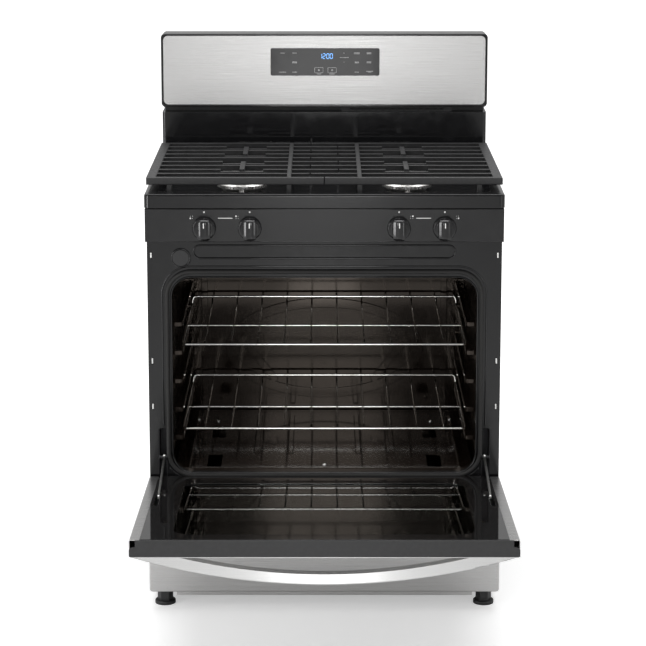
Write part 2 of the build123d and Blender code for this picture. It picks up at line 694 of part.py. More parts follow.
# Power inlet gland: a split bush through the back panel
with BuildPart() as power_inlet:
    with BuildSketch(facing(BODY_BACK - 8)):
        with Locations(GLAND):
            Circle(10.9)
    extrude(amount=-12)
    with BuildSketch(facing(BODY_BACK + SHEET + 0.2)):
        with Locations(GLAND):
            Circle(14.5)
    extrude(amount=-2.6)
    with BuildSketch(facing(BODY_BACK - 8)):
        with Locations(GLAND):
            Circle(5)
    extrude(amount=-16, mode=Mode.SUBTRACT)
save(power_inlet.part, "power_inlet_gland")

# ---------------------------------------------------------------- control panel and knobs
PANEL_X = 378.0
with BuildPart() as control_panel:
    with BuildSketch(Plane.YZ.offset(-PANEL_X)):
        with BuildLine():
            Polyline(
                (back(34), PANEL_Z1 - SHEET / 2),
                (back(PANEL_FACE + SHEET / 2), PANEL_Z1 - SHEET / 2),
                (back(PANEL_FACE + SHEET / 2), PANEL_Z0 + SHEET / 2),
                (back(34), PANEL_Z0 + SHEET / 2),
            )
            offset(amount=SHEET / 2)
        make_face()
    extrude(amount=2 * PANEL_X)
    with BuildSketch(facing(PANEL_FACE)):
        with Locations(*[(x, KNOB_Z) for x in KNOB_XS.values()]):
            Circle(7.8)
    extrude(amount=-SHEET, mode=Mode.SUBTRACT)
save(control_panel.part, "control_panel")

SKIRT_R = 25.0
GRIP_FACE = -27.0
for name, x in KNOB_XS.items():
    with BuildPart() as knob:
        with BuildSketch(facing(0.4)):
            with Locations((x, KNOB_Z)):
                Circle(SKIRT_R)
        extrude(amount=6.4, taper=14)
        fillet(knob.edges().group_by(Axis.Y)[0], 1.4)
        # Grip bar: a little narrower at its face, cut to the skirt's round
        with BuildSketch(facing(-5.5)):
            with Locations((x, KNOB_Z)):
                RectangleRounded(29, 46, 9)
        extrude(amount=-5.5 - GRIP_FACE, taper=4)
        fillet(knob.edges().group_by(Axis.Y)[0], 3)
        with BuildSketch(facing(0.4)):
            with Locations((x, KNOB_Z)):
                Circle(21)
                Circle(7, mode=Mode.SUBTRACT)
        extrude(amount=3.4, mode=Mode.SUBTRACT)
        with BuildSketch(facing(0.4)):
            with Locations((x, KNOB_Z)):
                Circle(STEM_R)
        extrude(amount=15, mode=Mode.SUBTRACT)
    with BuildPart() as stem:
        with BuildSketch(facing(31)):
            with Locations((x, KNOB_Z)):
                Circle(STEM_R)
        extrude(amount=31 + 14.4)
        # Flat of the D, over the length that the knob drives
        add(slab(x - 5, x + 5, -14.5, 2, KNOB_Z + 2.9, KNOB_Z + 5), mode=Mode.SUBTRACT)
    save(Compound([knob.part, stem.part]), f"knob_{name}")
    with BuildPart() as collar:
        with BuildSketch(facing(17)):
            with Locations((x, KNOB_Z)):
                Circle(7)
                Circle(STEM_R + 0.06, mode=Mode.SUBTRACT)
        extrude(amount=8)
    save(collar.part, f"stem_collar_{name}")

# ---------------------------------------------------------------- backguard
GUARD_FACE = 589.0
HEADER_Z0 = 1019.0
SLOT_Z0 = 1007.0
GUARD_X = HALF
INSET_X = 374.0
INSET_Z0 = 1025.5
INSET_Z1 = 1185.4
INSET_R = 11.0
TOUCH_X = 1.7
TOUCH_Z = 1125.0
TOUCH_WIDE = 253.0
TOUCH_HIGH = 64.0
GUARD_BACK = BODY_DEPTH - SHEET - 0.2

# Lower splash panel, wrapping back at its sides and stepping back at its top into the vent slot
with BuildPart() as splash_panel:
    with BuildSketch(Plane.XY.offset(SKIRT_Z + 1)):
        with BuildLine():
            FilletPolyline(
                (-GUARD_X + 2.4, back(GUARD_BACK - 1.2)),
                (-GUARD_X + 2.4, back(SPLASH_DEPTH)),
                (GUARD_X - 2.4, back(SPLASH_DEPTH)),
                (GUARD_X - 2.4, back(GUARD_BACK - 1.2)),
                radius=7,
            )
            offset(amount=1.0)
        make_face()
    extrude(amount=SLOT_Z0 - SKIRT_Z - 1)
    with BuildSketch(Plane.XY.offset(SLOT_Z0 - 1.5)):
        with Locations((0, back((SPLASH_DEPTH + 1 + 634) / 2))):
            Rectangle(2 * GUARD_X - 8, 634 - SPLASH_DEPTH - 1)
    extrude(amount=1.5)

# Vent trim in the slot under the header: a back wall, and a louvred duct end on the right
with BuildPart() as vent_trim:
    add(slab(-HALF + 6, HALF - 6, 632, 634, SLOT_Z0 + 0.2, HEADER_Z0 - 0.2))
    add(slab(41, 298, 604, 606, SLOT_Z0 + 0.2, HEADER_Z0 - 0.2))
    add(slab(41, 44, 604, 634, SLOT_Z0 + 0.2, HEADER_Z0 - 0.2))
    add(slab(295, 298, 604, 634, SLOT_Z0 + 0.2, HEADER_Z0 - 0.2))
    with BuildSketch(facing(604)):
        with Locations((169.5, (SLOT_Z0 + HEADER_Z0) / 2)):
            with GridLocations(16, 0, 14, 1):
                SlotOverall(12, 5)
    extrude(amount=-2, mode=Mode.SUBTRACT)
save(vent_trim.part, "vent_trim")

# Header box: top, bottom and ends in one folded shell, open at the back
with BuildPart() as header_shell:
    with BuildSketch(facing(GUARD_FACE + 9)):
        with Locations((0, (HEADER_Z0 + HEIGHT) / 2)):
            RectangleRounded(2 * HALF - 1, HEIGHT - HEADER_Z0 - 1, 10)
            RectangleRounded(2 * HALF - 3.4, HEIGHT - HEADER_Z0 - 3.4, 8.8, mode=Mode.SUBTRACT)
    extrude(amount=-(GUARD_BACK - GUARD_FACE - 9))
save(Compound([splash_panel.part, header_shell.part]), "backguard_shell")

# Moulded surround: a rounded frame with a seat that the steel panel drops into
with BuildPart() as header_surround:
    with BuildSketch(facing(GUARD_FACE + 9)):
        with Locations((0, (HEADER_Z0 + HEIGHT) / 2)):
            RectangleRounded(2 * HALF, HEIGHT - HEADER_Z0, 10)
    extrude(amount=9)
    fillet(header_surround.edges().group_by(Axis.Y)[0], 2.2)
    with BuildSketch(facing(GUARD_FACE)):
        with Locations((0, (INSET_Z0 + INSET_Z1) / 2)):
            RectangleRounded(2 * INSET_X + 0.8, INSET_Z1 - INSET_Z0 + 0.8, INSET_R + 0.4)
    extrude(amount=-3, mode=Mode.SUBTRACT)
    with BuildSketch(facing(GUARD_FACE)):
        with Locations((0, (INSET_Z0 + INSET_Z1) / 2)):
            RectangleRounded(2 * INSET_X - 14, INSET_Z1 - INSET_Z0 - 14, 8)
    extrude(amount=-9, mode=Mode.SUBTRACT)
save(header_surround.part, "header_surround")

with BuildPart() as header_panel:
    with BuildSketch(facing(GUARD_FACE + 3)):
        with Locations((0, (INSET_Z0 + INSET_Z1) / 2)):
            RectangleRounded(2 * INSET_X, INSET_Z1 - INSET_Z0, INSET_R)
        with Locations((TOUCH_X, TOUCH_Z)):
            RectangleRounded(TOUCH_WIDE - 8, TOUCH_HIGH - 8, 2, mode=Mode.SUBTRACT)
    extrude(amount=2.2)
save(header_panel.part, "header_panel")

with BuildPart() as touch_panel:
    with BuildSketch(facing(GUARD_FACE + 0.8)):
        with Locations((TOUCH_X, TOUCH_Z)):
            RectangleRounded(TOUCH_WIDE, TOUCH_HIGH, 4)
    extrude(amount=1.8)
    chamfer(touch_panel.edges().group_by(Axis.Y)[0], 0.5)
    with BuildSketch(facing(GUARD_FACE + 0.8)):
        with Locations((TOUCH_X, TOUCH_Z)):
            RectangleRounded(TOUCH_WIDE - 8.4, TOUCH_HIGH - 8.4, 2)
    extrude(amount=-7)
save(touch_panel.part, "touch_panel")

with BuildPart() as control_board:
    add(slab(-118, 122, 604, 605.6, 1070, 1172))
    for x, z in ((-80, 1150), (-30, 1095), (40, 1150), (88, 1100)):
        add(slab(x - 12, x + 12, 605.6, 622, z - 9, z + 9))
save(control_board.part, "control_board")

with BuildPart() as guard_cover:
    with BuildSketch(facing(BODY_DEPTH - SHEET)):
        with Locations((0, (SIDE_Z1 + HEIGHT) / 2 - 1)):
            RectangleRounded(2 * HALF - 4, HEIGHT - SIDE_Z1 - 2, 8)
        with Locations((0, 1150)):
            with GridLocations(44, 0, 14, 1):
                SlotOverall(30, 6, rotation=90, mode=Mode.SUBTRACT)
    extrude(amount=-SHEET)
save(guard_cover.part, "backguard_rear_cover")

# ---------------------------------------------------------------- door hinges
CLAW_X = 353.0
LINK_X = 346.0
PIN_R = 4.0
LINK_PIVOT_DEPTH = PIVOT_DEPTH + 33
LINK_PIVOT_Z = PIVOT_Z + 57
LINK_LENGTH = 190.0
LINK_WIDTH = 8.0
LINK_SLOPE = 9.69          # degrees below level at the open stop
LINK_PIN_R = 3.5
CLAW_HALF = 10.0
RUN = 0.06                 # radial clearance of a pin in its hole

receivers = []
claws = []
for side, name in ((-1, "left"), (1, "right")):
    # Receiver: a channel behind the frame's pocket, its cheeks reaching out through it at the link's pivot
    with BuildPart() as receiver:
        for cheek in (340.25, 356.25):
            with BuildSketch(Plane.YZ.offset(side * cheek - 0.75)):
                with Locations((back(62), 331)):
                    Rectangle(38, 136)
                with Locations((back(LINK_PIVOT_DEPTH), LINK_PIVOT_Z)):
                    Circle(7)
                    Circle(LINK_PIN_R, mode=Mode.SUBTRACT)
            extrude(amount=1.5)
        add(slab(side * 339.5, side * 357, 80, 81.5, 263, 399))
    receivers.append(receiver.part)
    # Claw: a flat arm locked in the receiver, carrying the door on its pin
    with BuildPart() as claw:
        with BuildSketch(Plane.YZ.offset(side * CLAW_X - 2)):
            with Locations((back(PIVOT_DEPTH), PIVOT_Z)):
                Circle(CLAW_HALF)
            with Locations((back((PIVOT_DEPTH + 78) / 2), PIVOT_Z)):
                Rectangle(78 - PIVOT_DEPTH, 2 * CLAW_HALF)
        extrude(amount=4)
        with BuildSketch(Plane.YZ.offset(side * 349 - 9.6)):
            with Locations((back(PIVOT_DEPTH), PIVOT_Z)):
                Circle(PIN_R)
        extrude(amount=19.2)
    claws.append(claw.part)
    with BuildPart() as link_pin:
        with BuildSketch(Plane.YZ.offset(side * 348.25 - 8.7)):
            with Locations((back(LINK_PIVOT_DEPTH), LINK_PIVOT_Z)):
                Circle(LINK_PIN_R)
        extrude(amount=17.4)
    receivers.append(link_pin.part)
    # Link: a straight bar from the receiver into the slot of the door's hinge channel
    middle_y = back(LINK_PIVOT_DEPTH) - LINK_LENGTH / 2 * cos(radians(LINK_SLOPE))
    middle_z = LINK_PIVOT_Z - LINK_LENGTH / 2 * sin(radians(LINK_SLOPE))
    with BuildPart() as link:
        with BuildSketch(Plane.YZ.offset(side * LINK_X - 2)):
            with Locations((middle_y, middle_z)):
                SlotCenterToCenter(LINK_LENGTH, LINK_WIDTH, rotation=LINK_SLOPE)
            with Locations((back(LINK_PIVOT_DEPTH), LINK_PIVOT_Z)):
                Circle(6.5)
                Circle(LINK_PIN_R + RUN, mode=Mode.SUBTRACT)
        extrude(amount=4)
    save(link.part, f"hinge_link_{name}")
save(Compound(receivers), "hinge_receivers")
save(Compound(claws), "hinge_claws")

# ---------------------------------------------------------------- door, drawn closed and saved open
DOOR_INNER = FACE_DEPTH + DOOR_THICK
SKIN_X = 378.0
FLANGE_X = 358.0
SKIN_TOP = DOOR_TOP - 4
WINDOW_Z = 524.5
WINDOW_WIDE = 500.0
WINDOW_HIGH = 215.0
PANE_X = 297.0             # half width of the window in the liner
PANE_Z0 = PIVOT_Z + 51
PANE_Z1 = PIVOT_Z + 490
PANE_R = 40.0
LINK_SLOT = (PIVOT_Z + 120, PIVOT_Z + 254)
HANDLE_Z = 782.5

with BuildPart() as door_skin:
    with BuildSketch(Plane.XY.offset(DOOR_BOTTOM)):
        with BuildLine():
            FilletPolyline(
                (-FLANGE_X, back(DOOR_INNER - SHEET / 2)),
                (-SKIN_X + SHEET / 2, back(DOOR_INNER - SHEET / 2)),
                (-SKIN_X + SHEET / 2, back(FACE_DEPTH + SHEET / 2)),
                (SKIN_X - SHEET / 2, back(FACE_DEPTH + SHEET / 2)),
                (SKIN_X - SHEET / 2, back(DOOR_INNER - SHEET / 2)),
                (FLANGE_X, back(DOOR_INNER - SHEET / 2)),
                radius=2.4,
            )
            offset(amount=SHEET / 2)
        make_face()
    extrude(amount=SKIN_TOP - DOOR_BOTTOM)
    add(slab(-SKIN_X + 3, SKIN_X - 3, FACE_DEPTH, FACE_DEPTH + SHEET, SKIN_TOP, DOOR_TOP))
    add(slab(-FLANGE_X, FLANGE_X, FACE_DEPTH + 0.5, DOOR_INNER - 2, DOOR_BOTTOM, DOOR_BOTTOM + SHEET))
    with BuildSketch(facing(FACE_DEPTH)):
        with Locations((0, WINDOW_Z)):
            RectangleRounded(WINDOW_WIDE, WINDOW_HIGH, 10)
    extrude(amount=-SHEET, mode=Mode.SUBTRACT)
    for side in (-1, 1):
        add(slab(side * 349.5, side * 357, FACE_DEPTH + 3, DOOR_INNER, DOOR_BOTTOM - 1, DOOR_BOTTOM + 3),
            mode=Mode.SUBTRACT)
save(opened(door_skin.part), "door_skin")

with BuildPart() as door_liner:
    with BuildSketch(facing(DOOR_INNER)):
        with Locations((0, (DOOR_BOTTOM + SKIN_TOP) / 2)):
            Rectangle(2 * FLANGE_X - 1, SKIN_TOP - DOOR_BOTTOM - 0.4)
        with Locations((0, (PANE_Z0 + PANE_Z1) / 2)):
            RectangleRounded(2 * PANE_X, PANE_Z1 - PANE_Z0, PANE_R, mode=Mode.SUBTRACT)
        for side in (-1, 1):
            with Locations((side * LINK_X, (LINK_SLOT[0] + LINK_SLOT[1]) / 2)):
                SlotOverall(LINK_SLOT[1] - LINK_SLOT[0], 9, rotation=90, mode=Mode.SUBTRACT)
            with Locations((side * 354.2, DOOR_BOTTOM + 15)):
                Rectangle(9.4, 36, mode=Mode.SUBTRACT)
    extrude(amount=-SHEET)
save(opened(door_liner.part), "door_liner")

with BuildPart() as door_trim:
    with BuildSketch(Plane.XY.offset(SKIN_TOP + 0.1)):
        with BuildLine():
            outline = Polyline(
                (-SKIN_X, back(FACE_DEPTH + SHEET + 0.1)),
                (-SKIN_X, back(9)),
                (-SKIN_X + 3, back(13)),
                (-366, back(15)),
                (-366, back(DOOR_INNER)),
                (366, back(DOOR_INNER)),
                (366, back(15)),
                (SKIN_X - 3, back(13)),
                (SKIN_X, back(9)),
                (SKIN_X, back(FACE_DEPTH + SHEET + 0.1)),
                close=True,
            )
        make_face()
    extrude(amount=DOOR_TOP - SKIN_TOP - 0.2)
    chamfer(door_trim.edges().group_by(Axis.Z)[-1], 0.8)
save(opened(door_trim.part), "door_top_trim")

with BuildPart() as outer_glass:
    with BuildSketch(facing(FACE_DEPTH + SHEET + 0.1)):
        with Locations((0, WINDOW_Z)):
            RectangleRounded(WINDOW_WIDE + 26, WINDOW_HIGH + 24, 8)
    extrude(amount=-3.2)
save(opened(outer_glass.part), "door_outer_glass")

with BuildPart() as inner_glass:
    with BuildSketch(facing(DOOR_INNER - SHEET - 0.1)):
        with Locations((0, (PANE_Z0 + PANE_Z1) / 2)):
            RectangleRounded(2 * PANE_X + 14, PANE_Z1 - PANE_Z0 + 14, PANE_R + 7)
    extrude(amount=3.8)
save(opened(inner_glass.part), "door_inner_glass")

SHIELD_DEPTH = DOOR_INNER - 8
# Window frame: a folded box between the panes, with a wide flange behind the inner pane as a heat shield
with BuildPart() as window_frame:
    with BuildSketch(facing(SHIELD_DEPTH)):
        with Locations((0, (PANE_Z0 + PANE_Z1) / 2)):
            RectangleRounded(664, PANE_Z1 - PANE_Z0 + 44, 20)
        with Locations((0, WINDOW_Z)):
            RectangleRounded(WINDOW_WIDE + 13.6, WINDOW_HIGH + 13.6, 15.8, mode=Mode.SUBTRACT)
    extrude(amount=-SHEET)
    with BuildSketch(facing(FACE_DEPTH + SHEET + 3.5)):
        with Locations((0, WINDOW_Z)):
            RectangleRounded(WINDOW_WIDE + 16, WINDOW_HIGH + 16, 17)
            RectangleRounded(WINDOW_WIDE + 13.6, WINDOW_HIGH + 13.6, 15.8, mode=Mode.SUBTRACT)
    extrude(amount=-(SHIELD_DEPTH + SHEET - FACE_DEPTH - SHEET - 3.5))
save(opened(window_frame.part), "door_window_frame")

channels = []
for side in (-1, 1):
    with BuildPart() as hinge_channel:
        for cheek in (340.25, 356.75):
            with BuildSketch(Plane.YZ.offset(side * cheek - 0.75)):
                with Locations((back(PIVOT_DEPTH + 2), PIVOT_Z + 123)):
                    Rectangle(27, 278)
                with Locations((back(PIVOT_DEPTH), PIVOT_Z)):
                    Circle(PIN_R + RUN, mode=Mode.SUBTRACT)
            extrude(amount=1.5)
        add(slab(side * 341, side * 356, PIVOT_DEPTH - 13, PIVOT_DEPTH - 11.5, PIVOT_Z - 16, PIVOT_Z + 262))
    channels.append(hinge_channel.part)
save(opened(Compound(channels)), "door_hinge_channels")

springs = []
for side in (-1, 1):
    springs.append(rod((side * 348.5, back(12), PIVOT_Z + 268), (side * 348.5, back(12), PIVOT_Z + 420), 6))
save(opened(Compound(springs)), "door_hinge_springs")

# Handle: one bowed bar across the door, its ends running out into the top corners
HANDLE_TALL = 27.0
HANDLE_REACH = 58.0
HANDLE_GAP = 36.0
with BuildPart() as handle:
    with BuildSketch(Plane.XY.offset(HANDLE_Z - HANDLE_TALL / 2)):
        with BuildLine():
            outer = ThreePointArc((-372, back(FACE_DEPTH - 4)), (0, back(FACE_DEPTH - HANDLE_REACH)),
                                  (372, back(FACE_DEPTH - 4)))
            Polyline(outer @ 1, (372, back(FACE_DEPTH - 0.05)), (292, back(FACE_DEPTH - 0.05)))
            ThreePointArc((292, back(FACE_DEPTH - 0.05)), (0, back(FACE_DEPTH - HANDLE_GAP)),
                          (-292, back(FACE_DEPTH - 0.05)))
            Polyline((-292, back(FACE_DEPTH - 0.05)), (-372, back(FACE_DEPTH - 0.05)), outer @ 0)
        make_face()
    extrude(amount=HANDLE_TALL)
    rim = handle.edges().filter_by(GeomType.CIRCLE).filter_by(lambda edge: edge.length > 700)
    fillet(rim, 3.5)
save(opened(handle.part), "door_handle")

# ---------------------------------------------------------------- drawer
DRAWER_FACE = -4.0
DRAWER_X = 378.5
DRAWER_Z0 = 41.0
PAN_X = 318.0
PAN_Z0 = 64.0
PAN_Z1 = 190.0
PAN_BACK = 545.0
with BuildPart() as drawer_front:
    with BuildSketch(facing(20)):
        with Locations((0, (DRAWER_Z0 + DRAWER_TOP) / 2)):
            RectangleRounded(2 * DRAWER_X, DRAWER_TOP - DRAWER_Z0, 7)
    extrude(amount=20 - DRAWER_FACE)
    fillet(drawer_front.edges().group_by(Axis.Y)[0], 3)
    with BuildSketch(facing(20)):
        with Locations((0, (DRAWER_Z0 + DRAWER_TOP) / 2)):
            RectangleRounded(2 * DRAWER_X - 2.4, DRAWER_TOP - DRAWER_Z0 - 2.4, 5.8)
    extrude(amount=20 - DRAWER_FACE - 1.6, mode=Mode.SUBTRACT)
    # Folded flanges round the back edge
    with BuildSketch(facing(20)):
        with Locations((0, (DRAWER_Z0 + DRAWER_TOP) / 2)):
            RectangleRounded(2 * DRAWER_X - 2, DRAWER_TOP - DRAWER_Z0 - 2, 6)
            Rectangle(2 * DRAWER_X - 44, DRAWER_TOP - DRAWER_Z0 - 40, mode=Mode.SUBTRACT)
    extrude(amount=1.2)
    # Lip folded down under the front
    add(slab(-320, 320, 3, 13, 31.5, DRAWER_Z0 + 1))
save(drawer_front.part, "drawer_front")

with BuildPart() as drawer_pan:
    add(slab(-PAN_X, PAN_X, 20.1, PAN_BACK, PAN_Z0, PAN_Z1))
    fillet(drawer_pan.edges().filter_by(Axis.Z), 8)
    pan_inside = drawer_pan.faces().sort_by(Axis.Z)[-1]
    offset(amount=-1.2, openings=pan_inside)
save(drawer_pan.part, "drawer_pan")

runners = []
rails = []
for side in (-1, 1):
    runners.append(slab(side * (PAN_X + 0.1), side * (PAN_X + 6), 30, PAN_BACK - 5, 150, 164))
    for z0, z1 in ((146.5, 148), (166, 167.5)):
        rails.append(slab(side * 325, side * 338, 70, 556, z0, z1))
    rails.append(slab(side * 338, side * 339.5, 70, 556, 146.5, 167.5))
    for depth in (140, 535):
        rails.append(slab(side * 339.5, side * 341.6, depth - 15, depth + 15, RAIL_Z1 + 0.1, 172))
save(Compound(runners), "drawer_runners")
with BuildPart() as drawer_rails:
    add(rails)
save(drawer_rails.part, "drawer_rails")
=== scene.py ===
from math import cos, pi, radians, sin

import bmesh
import bpy
import numpy as np
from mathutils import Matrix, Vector


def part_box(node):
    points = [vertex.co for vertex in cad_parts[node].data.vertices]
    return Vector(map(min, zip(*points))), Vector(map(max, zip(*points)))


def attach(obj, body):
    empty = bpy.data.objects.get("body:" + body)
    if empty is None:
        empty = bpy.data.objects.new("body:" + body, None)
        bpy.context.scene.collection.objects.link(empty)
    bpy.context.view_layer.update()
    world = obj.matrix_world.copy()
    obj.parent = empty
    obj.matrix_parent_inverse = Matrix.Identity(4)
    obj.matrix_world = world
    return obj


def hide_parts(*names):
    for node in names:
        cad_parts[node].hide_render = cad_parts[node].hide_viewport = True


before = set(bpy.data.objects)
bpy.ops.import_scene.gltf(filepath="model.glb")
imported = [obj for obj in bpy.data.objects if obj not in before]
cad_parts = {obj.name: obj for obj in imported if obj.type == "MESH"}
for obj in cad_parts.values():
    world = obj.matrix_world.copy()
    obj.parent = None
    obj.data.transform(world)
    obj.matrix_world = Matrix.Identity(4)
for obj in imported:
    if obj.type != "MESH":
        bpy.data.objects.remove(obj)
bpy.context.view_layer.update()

# ---------------------------------------------------------------- the room and the view
# A plain pale studio: an even white surround, a tall soft panel straight in front, a low card on the
# floor that glows in the oven's back wall, a broad panel overhead and an upright strip at each side.
scene = bpy.context.scene
scene.view_settings.view_transform = "Standard"

world = bpy.data.worlds.new("studio")
world.use_nodes = True
surround = world.node_tree.nodes["Background"]
surround.inputs["Color"].default_value = (1.0, 1.0, 1.0, 1.0)
seen = world.node_tree.nodes.new("ShaderNodeLightPath")
ROOM_GLOW = 0.5            # what the surround gives off; seen straight on it is plain white
level = world.node_tree.nodes.new("ShaderNodeMapRange")
world.node_tree.links.new(seen.outputs["Is Camera Ray"], level.inputs["Value"])
level.inputs["To Min"].default_value = ROOM_GLOW
level.inputs["To Max"].default_value = 1.0
world.node_tree.links.new(level.outputs["Result"], surround.inputs["Strength"])
scene.world = world


def softbox(name, place, aim, size, radiance):
    """A rectangular area light of size (width, height) at place, facing aim, of the given radiance."""
    data = bpy.data.lights.new(name, "AREA")
    data.shape = "RECTANGLE"
    data.size, data.size_y = size
    data.energy = radiance * size[0] * size[1] * pi
    lamp = bpy.data.objects.new(name, data)
    lamp.location = place
    direction = np.array(aim) - np.array(place)
    lamp.rotation_euler = Vector(direction).to_track_quat("-Z", "Y").to_euler()
    lamp.visible_camera = False
    scene.collection.objects.link(lamp)


softbox("front_panel", (0.0, -5.8, 1.35), (0.0, 0.0, 0.9), (0.6, 2.6), 4.0)
softbox("floor_card", (0.0, -2.3, 0.004), (0.0, -2.3, 1.0), (0.24, 1.9), 1.6)
softbox("overhead_panel", (0.0, 0.3, 3.6), (0.0, 0.3, 0.0), (3.6, 3.0), 3.5)
softbox("left_strip", (-3.4, -2.27, 1.3), (0.0, 0.0, 0.8), (0.9, 2.6), 8.0)
softbox("right_strip", (3.4, -2.27, 1.3), (0.0, 0.0, 0.8), (0.4, 2.6), 3.0)

CAMERA_PLACE = (-0.003, -4.9414, 1.7514)
CAMERA_PITCH = 11.30       # degrees below level
CAMERA_RISE = -0.1         # how far the picture is shifted upright, as a part of its width
FOCAL_RATIO = 2359.5 / 646.0
SENSOR = 36.0
CLIP_END = 200.0

camera_data = bpy.data.cameras.new("camera")
camera_data.sensor_width = SENSOR
camera_data.lens = FOCAL_RATIO * SENSOR
camera_data.shift_y = CAMERA_RISE
camera_data.clip_end = CLIP_END
camera = bpy.data.objects.new("camera", camera_data)
camera.location = CAMERA_PLACE
camera.rotation_euler = (radians(90.0 - CAMERA_PITCH), 0.0, 0.0)
scene.collection.objects.link(camera)
scene.camera = camera


def surface(name, grids, solid=True, sharp=None):
    """One mesh from grids of points, each (points of shape (rows, columns, 3), wrap rows, wrap columns).

    Each cell of a grid becomes a quad; points that meet, as at a pole, are joined, and faces turn outwards.
    """
    corners = []
    faces = []
    start = 0
    for points, wrap_u, wrap_v in grids:
        rows, columns = points.shape[:2]
        u = np.arange(rows if wrap_u else rows - 1)[:, None]
        v = np.arange(columns if wrap_v else columns - 1)[None, :]
        u2 = (u + 1) % rows
        v2 = (v + 1) % columns
        quads = np.stack([u * columns + v, u2 * columns + v, u2 * columns + v2, u * columns + v2], -1)
        corners.append(points.reshape(-1, 3))
        faces.append(quads.reshape(-1, 4) + start)
        start += rows * columns
    mesh = bpy.data.meshes.new(name)
    mesh.from_pydata(np.concatenate(corners), [], np.concatenate(faces))
    if solid:
        shell = bmesh.new()
        shell.from_mesh(mesh)
        bmesh.ops.remove_doubles(shell, verts=shell.verts, dist=1e-7)
        bmesh.ops.recalc_face_normals(shell, faces=shell.faces)
        shell.to_mesh(mesh)
        shell.free()
    mesh.shade_smooth()
    if sharp:
        mesh.set_sharp_from_angle(angle=radians(sharp))
    piece = bpy.data.objects.new(name, mesh)
    scene.collection.objects.link(piece)
    return piece


# The floor is one large flat sheet, finer under the range, with a matt off-white paint; to the camera alone
# it also gives off a painted glow, weakest near the range and stronger further out: painted shade round the
# range and a painted white backdrop beyond.
FLOOR_LINES = 41
FLOOR_SPREAD = 4.6         # half-range of the sinh spacing, which reaches about 25 m out
floor_line = np.sinh(np.linspace(-FLOOR_SPREAD, FLOOR_SPREAD, FLOOR_LINES)) * 0.5
floor_across, floor_back = np.meshgrid(floor_line, floor_line, indexing="ij")
floor_grid = np.stack([floor_across, floor_back, np.zeros_like(floor_back)], -1)
floor = surface("studio_floor", [(floor_grid, False, False)], solid=False)
floor_paint_and_glow = bpy.data.materials.new("floor_paint_and_glow")
floor_paint_and_glow.use_nodes = True
paint = floor_paint_and_glow.node_tree.nodes["Principled BSDF"]
paint.inputs["Base Color"].default_value = (0.86, 0.86, 0.86, 1.0)
paint.inputs["Roughness"].default_value = 0.6
paint.inputs["Specular IOR Level"].default_value = 0.2
paint.inputs["Emission Color"].default_value = (1.0, 1.0, 1.0, 1.0)
paint_tree = floor_paint_and_glow.node_tree
# Painted glow, for camera rays only: 0.4 within 0.6 m of the middle rising to 0.85 at 3.5 m out, painted
# light far off and painted shade near the range.
seen = paint_tree.nodes.new("ShaderNodeLightPath")
glow = paint_tree.nodes.new("ShaderNodeMapRange")
paint_tree.links.new(seen.outputs["Is Camera Ray"], glow.inputs["Value"])
spot = paint_tree.nodes.new("ShaderNodeVectorMath")
spot.operation = "LENGTH"
paint_tree.links.new(paint_tree.nodes.new("ShaderNodeTexCoord").outputs["Object"], spot.inputs[0])
reach = paint_tree.nodes.new("ShaderNodeMapRange")
paint_tree.links.new(spot.outputs["Value"], reach.inputs["Value"])
for label, number in (("From Min", 0.6), ("From Max", 3.5), ("To Min", 0.4), ("To Max", 0.85)):
    reach.inputs[label].default_value = number
paint_tree.links.new(reach.outputs["Result"], glow.inputs["To Max"])
paint_tree.links.new(glow.outputs["Result"], paint.inputs["Emission Strength"])
floor.data.materials.append(floor_paint_and_glow)

# ---------------------------------------------------------------- black enamelled sheet
# The side panels, cooktop and front frame are pressed steel sheet, dipped and fired in black porcelain
# enamel: a hard glassy coat with a faint ripple, and a slight haze of handling.
def new_group(name, inputs, outputs):
    """An empty shader node group with the given sockets, its input node and its output node."""
    group = bpy.data.node_groups.new(name, "ShaderNodeTree")
    for label, kind, value in inputs:
        socket = group.interface.new_socket(label, in_out="INPUT", socket_type=kind)
        socket.default_value = value
    for label, kind in outputs:
        group.interface.new_socket(label, in_out="OUTPUT", socket_type=kind)
    return group, group.nodes.new("NodeGroupInput"), group.nodes.new("NodeGroupOutput")


FLOAT = "NodeSocketFloat"


def noise_node(tree, coordinates, scale, detail=2.0, rough=0.5):
    """A noise texture reading the given coordinates."""
    node = tree.nodes.new("ShaderNodeTexNoise")
    node.inputs["Scale"].default_value = scale
    node.inputs["Detail"].default_value = detail
    node.inputs["Roughness"].default_value = rough
    tree.links.new(coordinates, node.inputs["Vector"])
    return node


def remap(tree, value, low, high, out_low, out_high):
    """Maps a value from low..high to out_low..out_high, held at the ends."""
    node = tree.nodes.new("ShaderNodeMapRange")
    tree.links.new(value, node.inputs["Value"])
    for label, number in (("From Min", low), ("From Max", high), ("To Min", out_low), ("To Max", out_high)):
        if isinstance(number, bpy.types.NodeSocket):
            tree.links.new(number, node.inputs[label])
        else:
            node.inputs[label].default_value = number
    return node.outputs["Result"]


def math_node(tree, operation, first, second):
    """One step of arithmetic on two sockets or numbers."""
    node = tree.nodes.new("ShaderNodeMath")
    node.operation = operation
    for index, value in enumerate((first, second)):
        if isinstance(value, bpy.types.NodeSocket):
            tree.links.new(value, node.inputs[index])
        else:
            node.inputs[index].default_value = value
    return node.outputs["Value"]


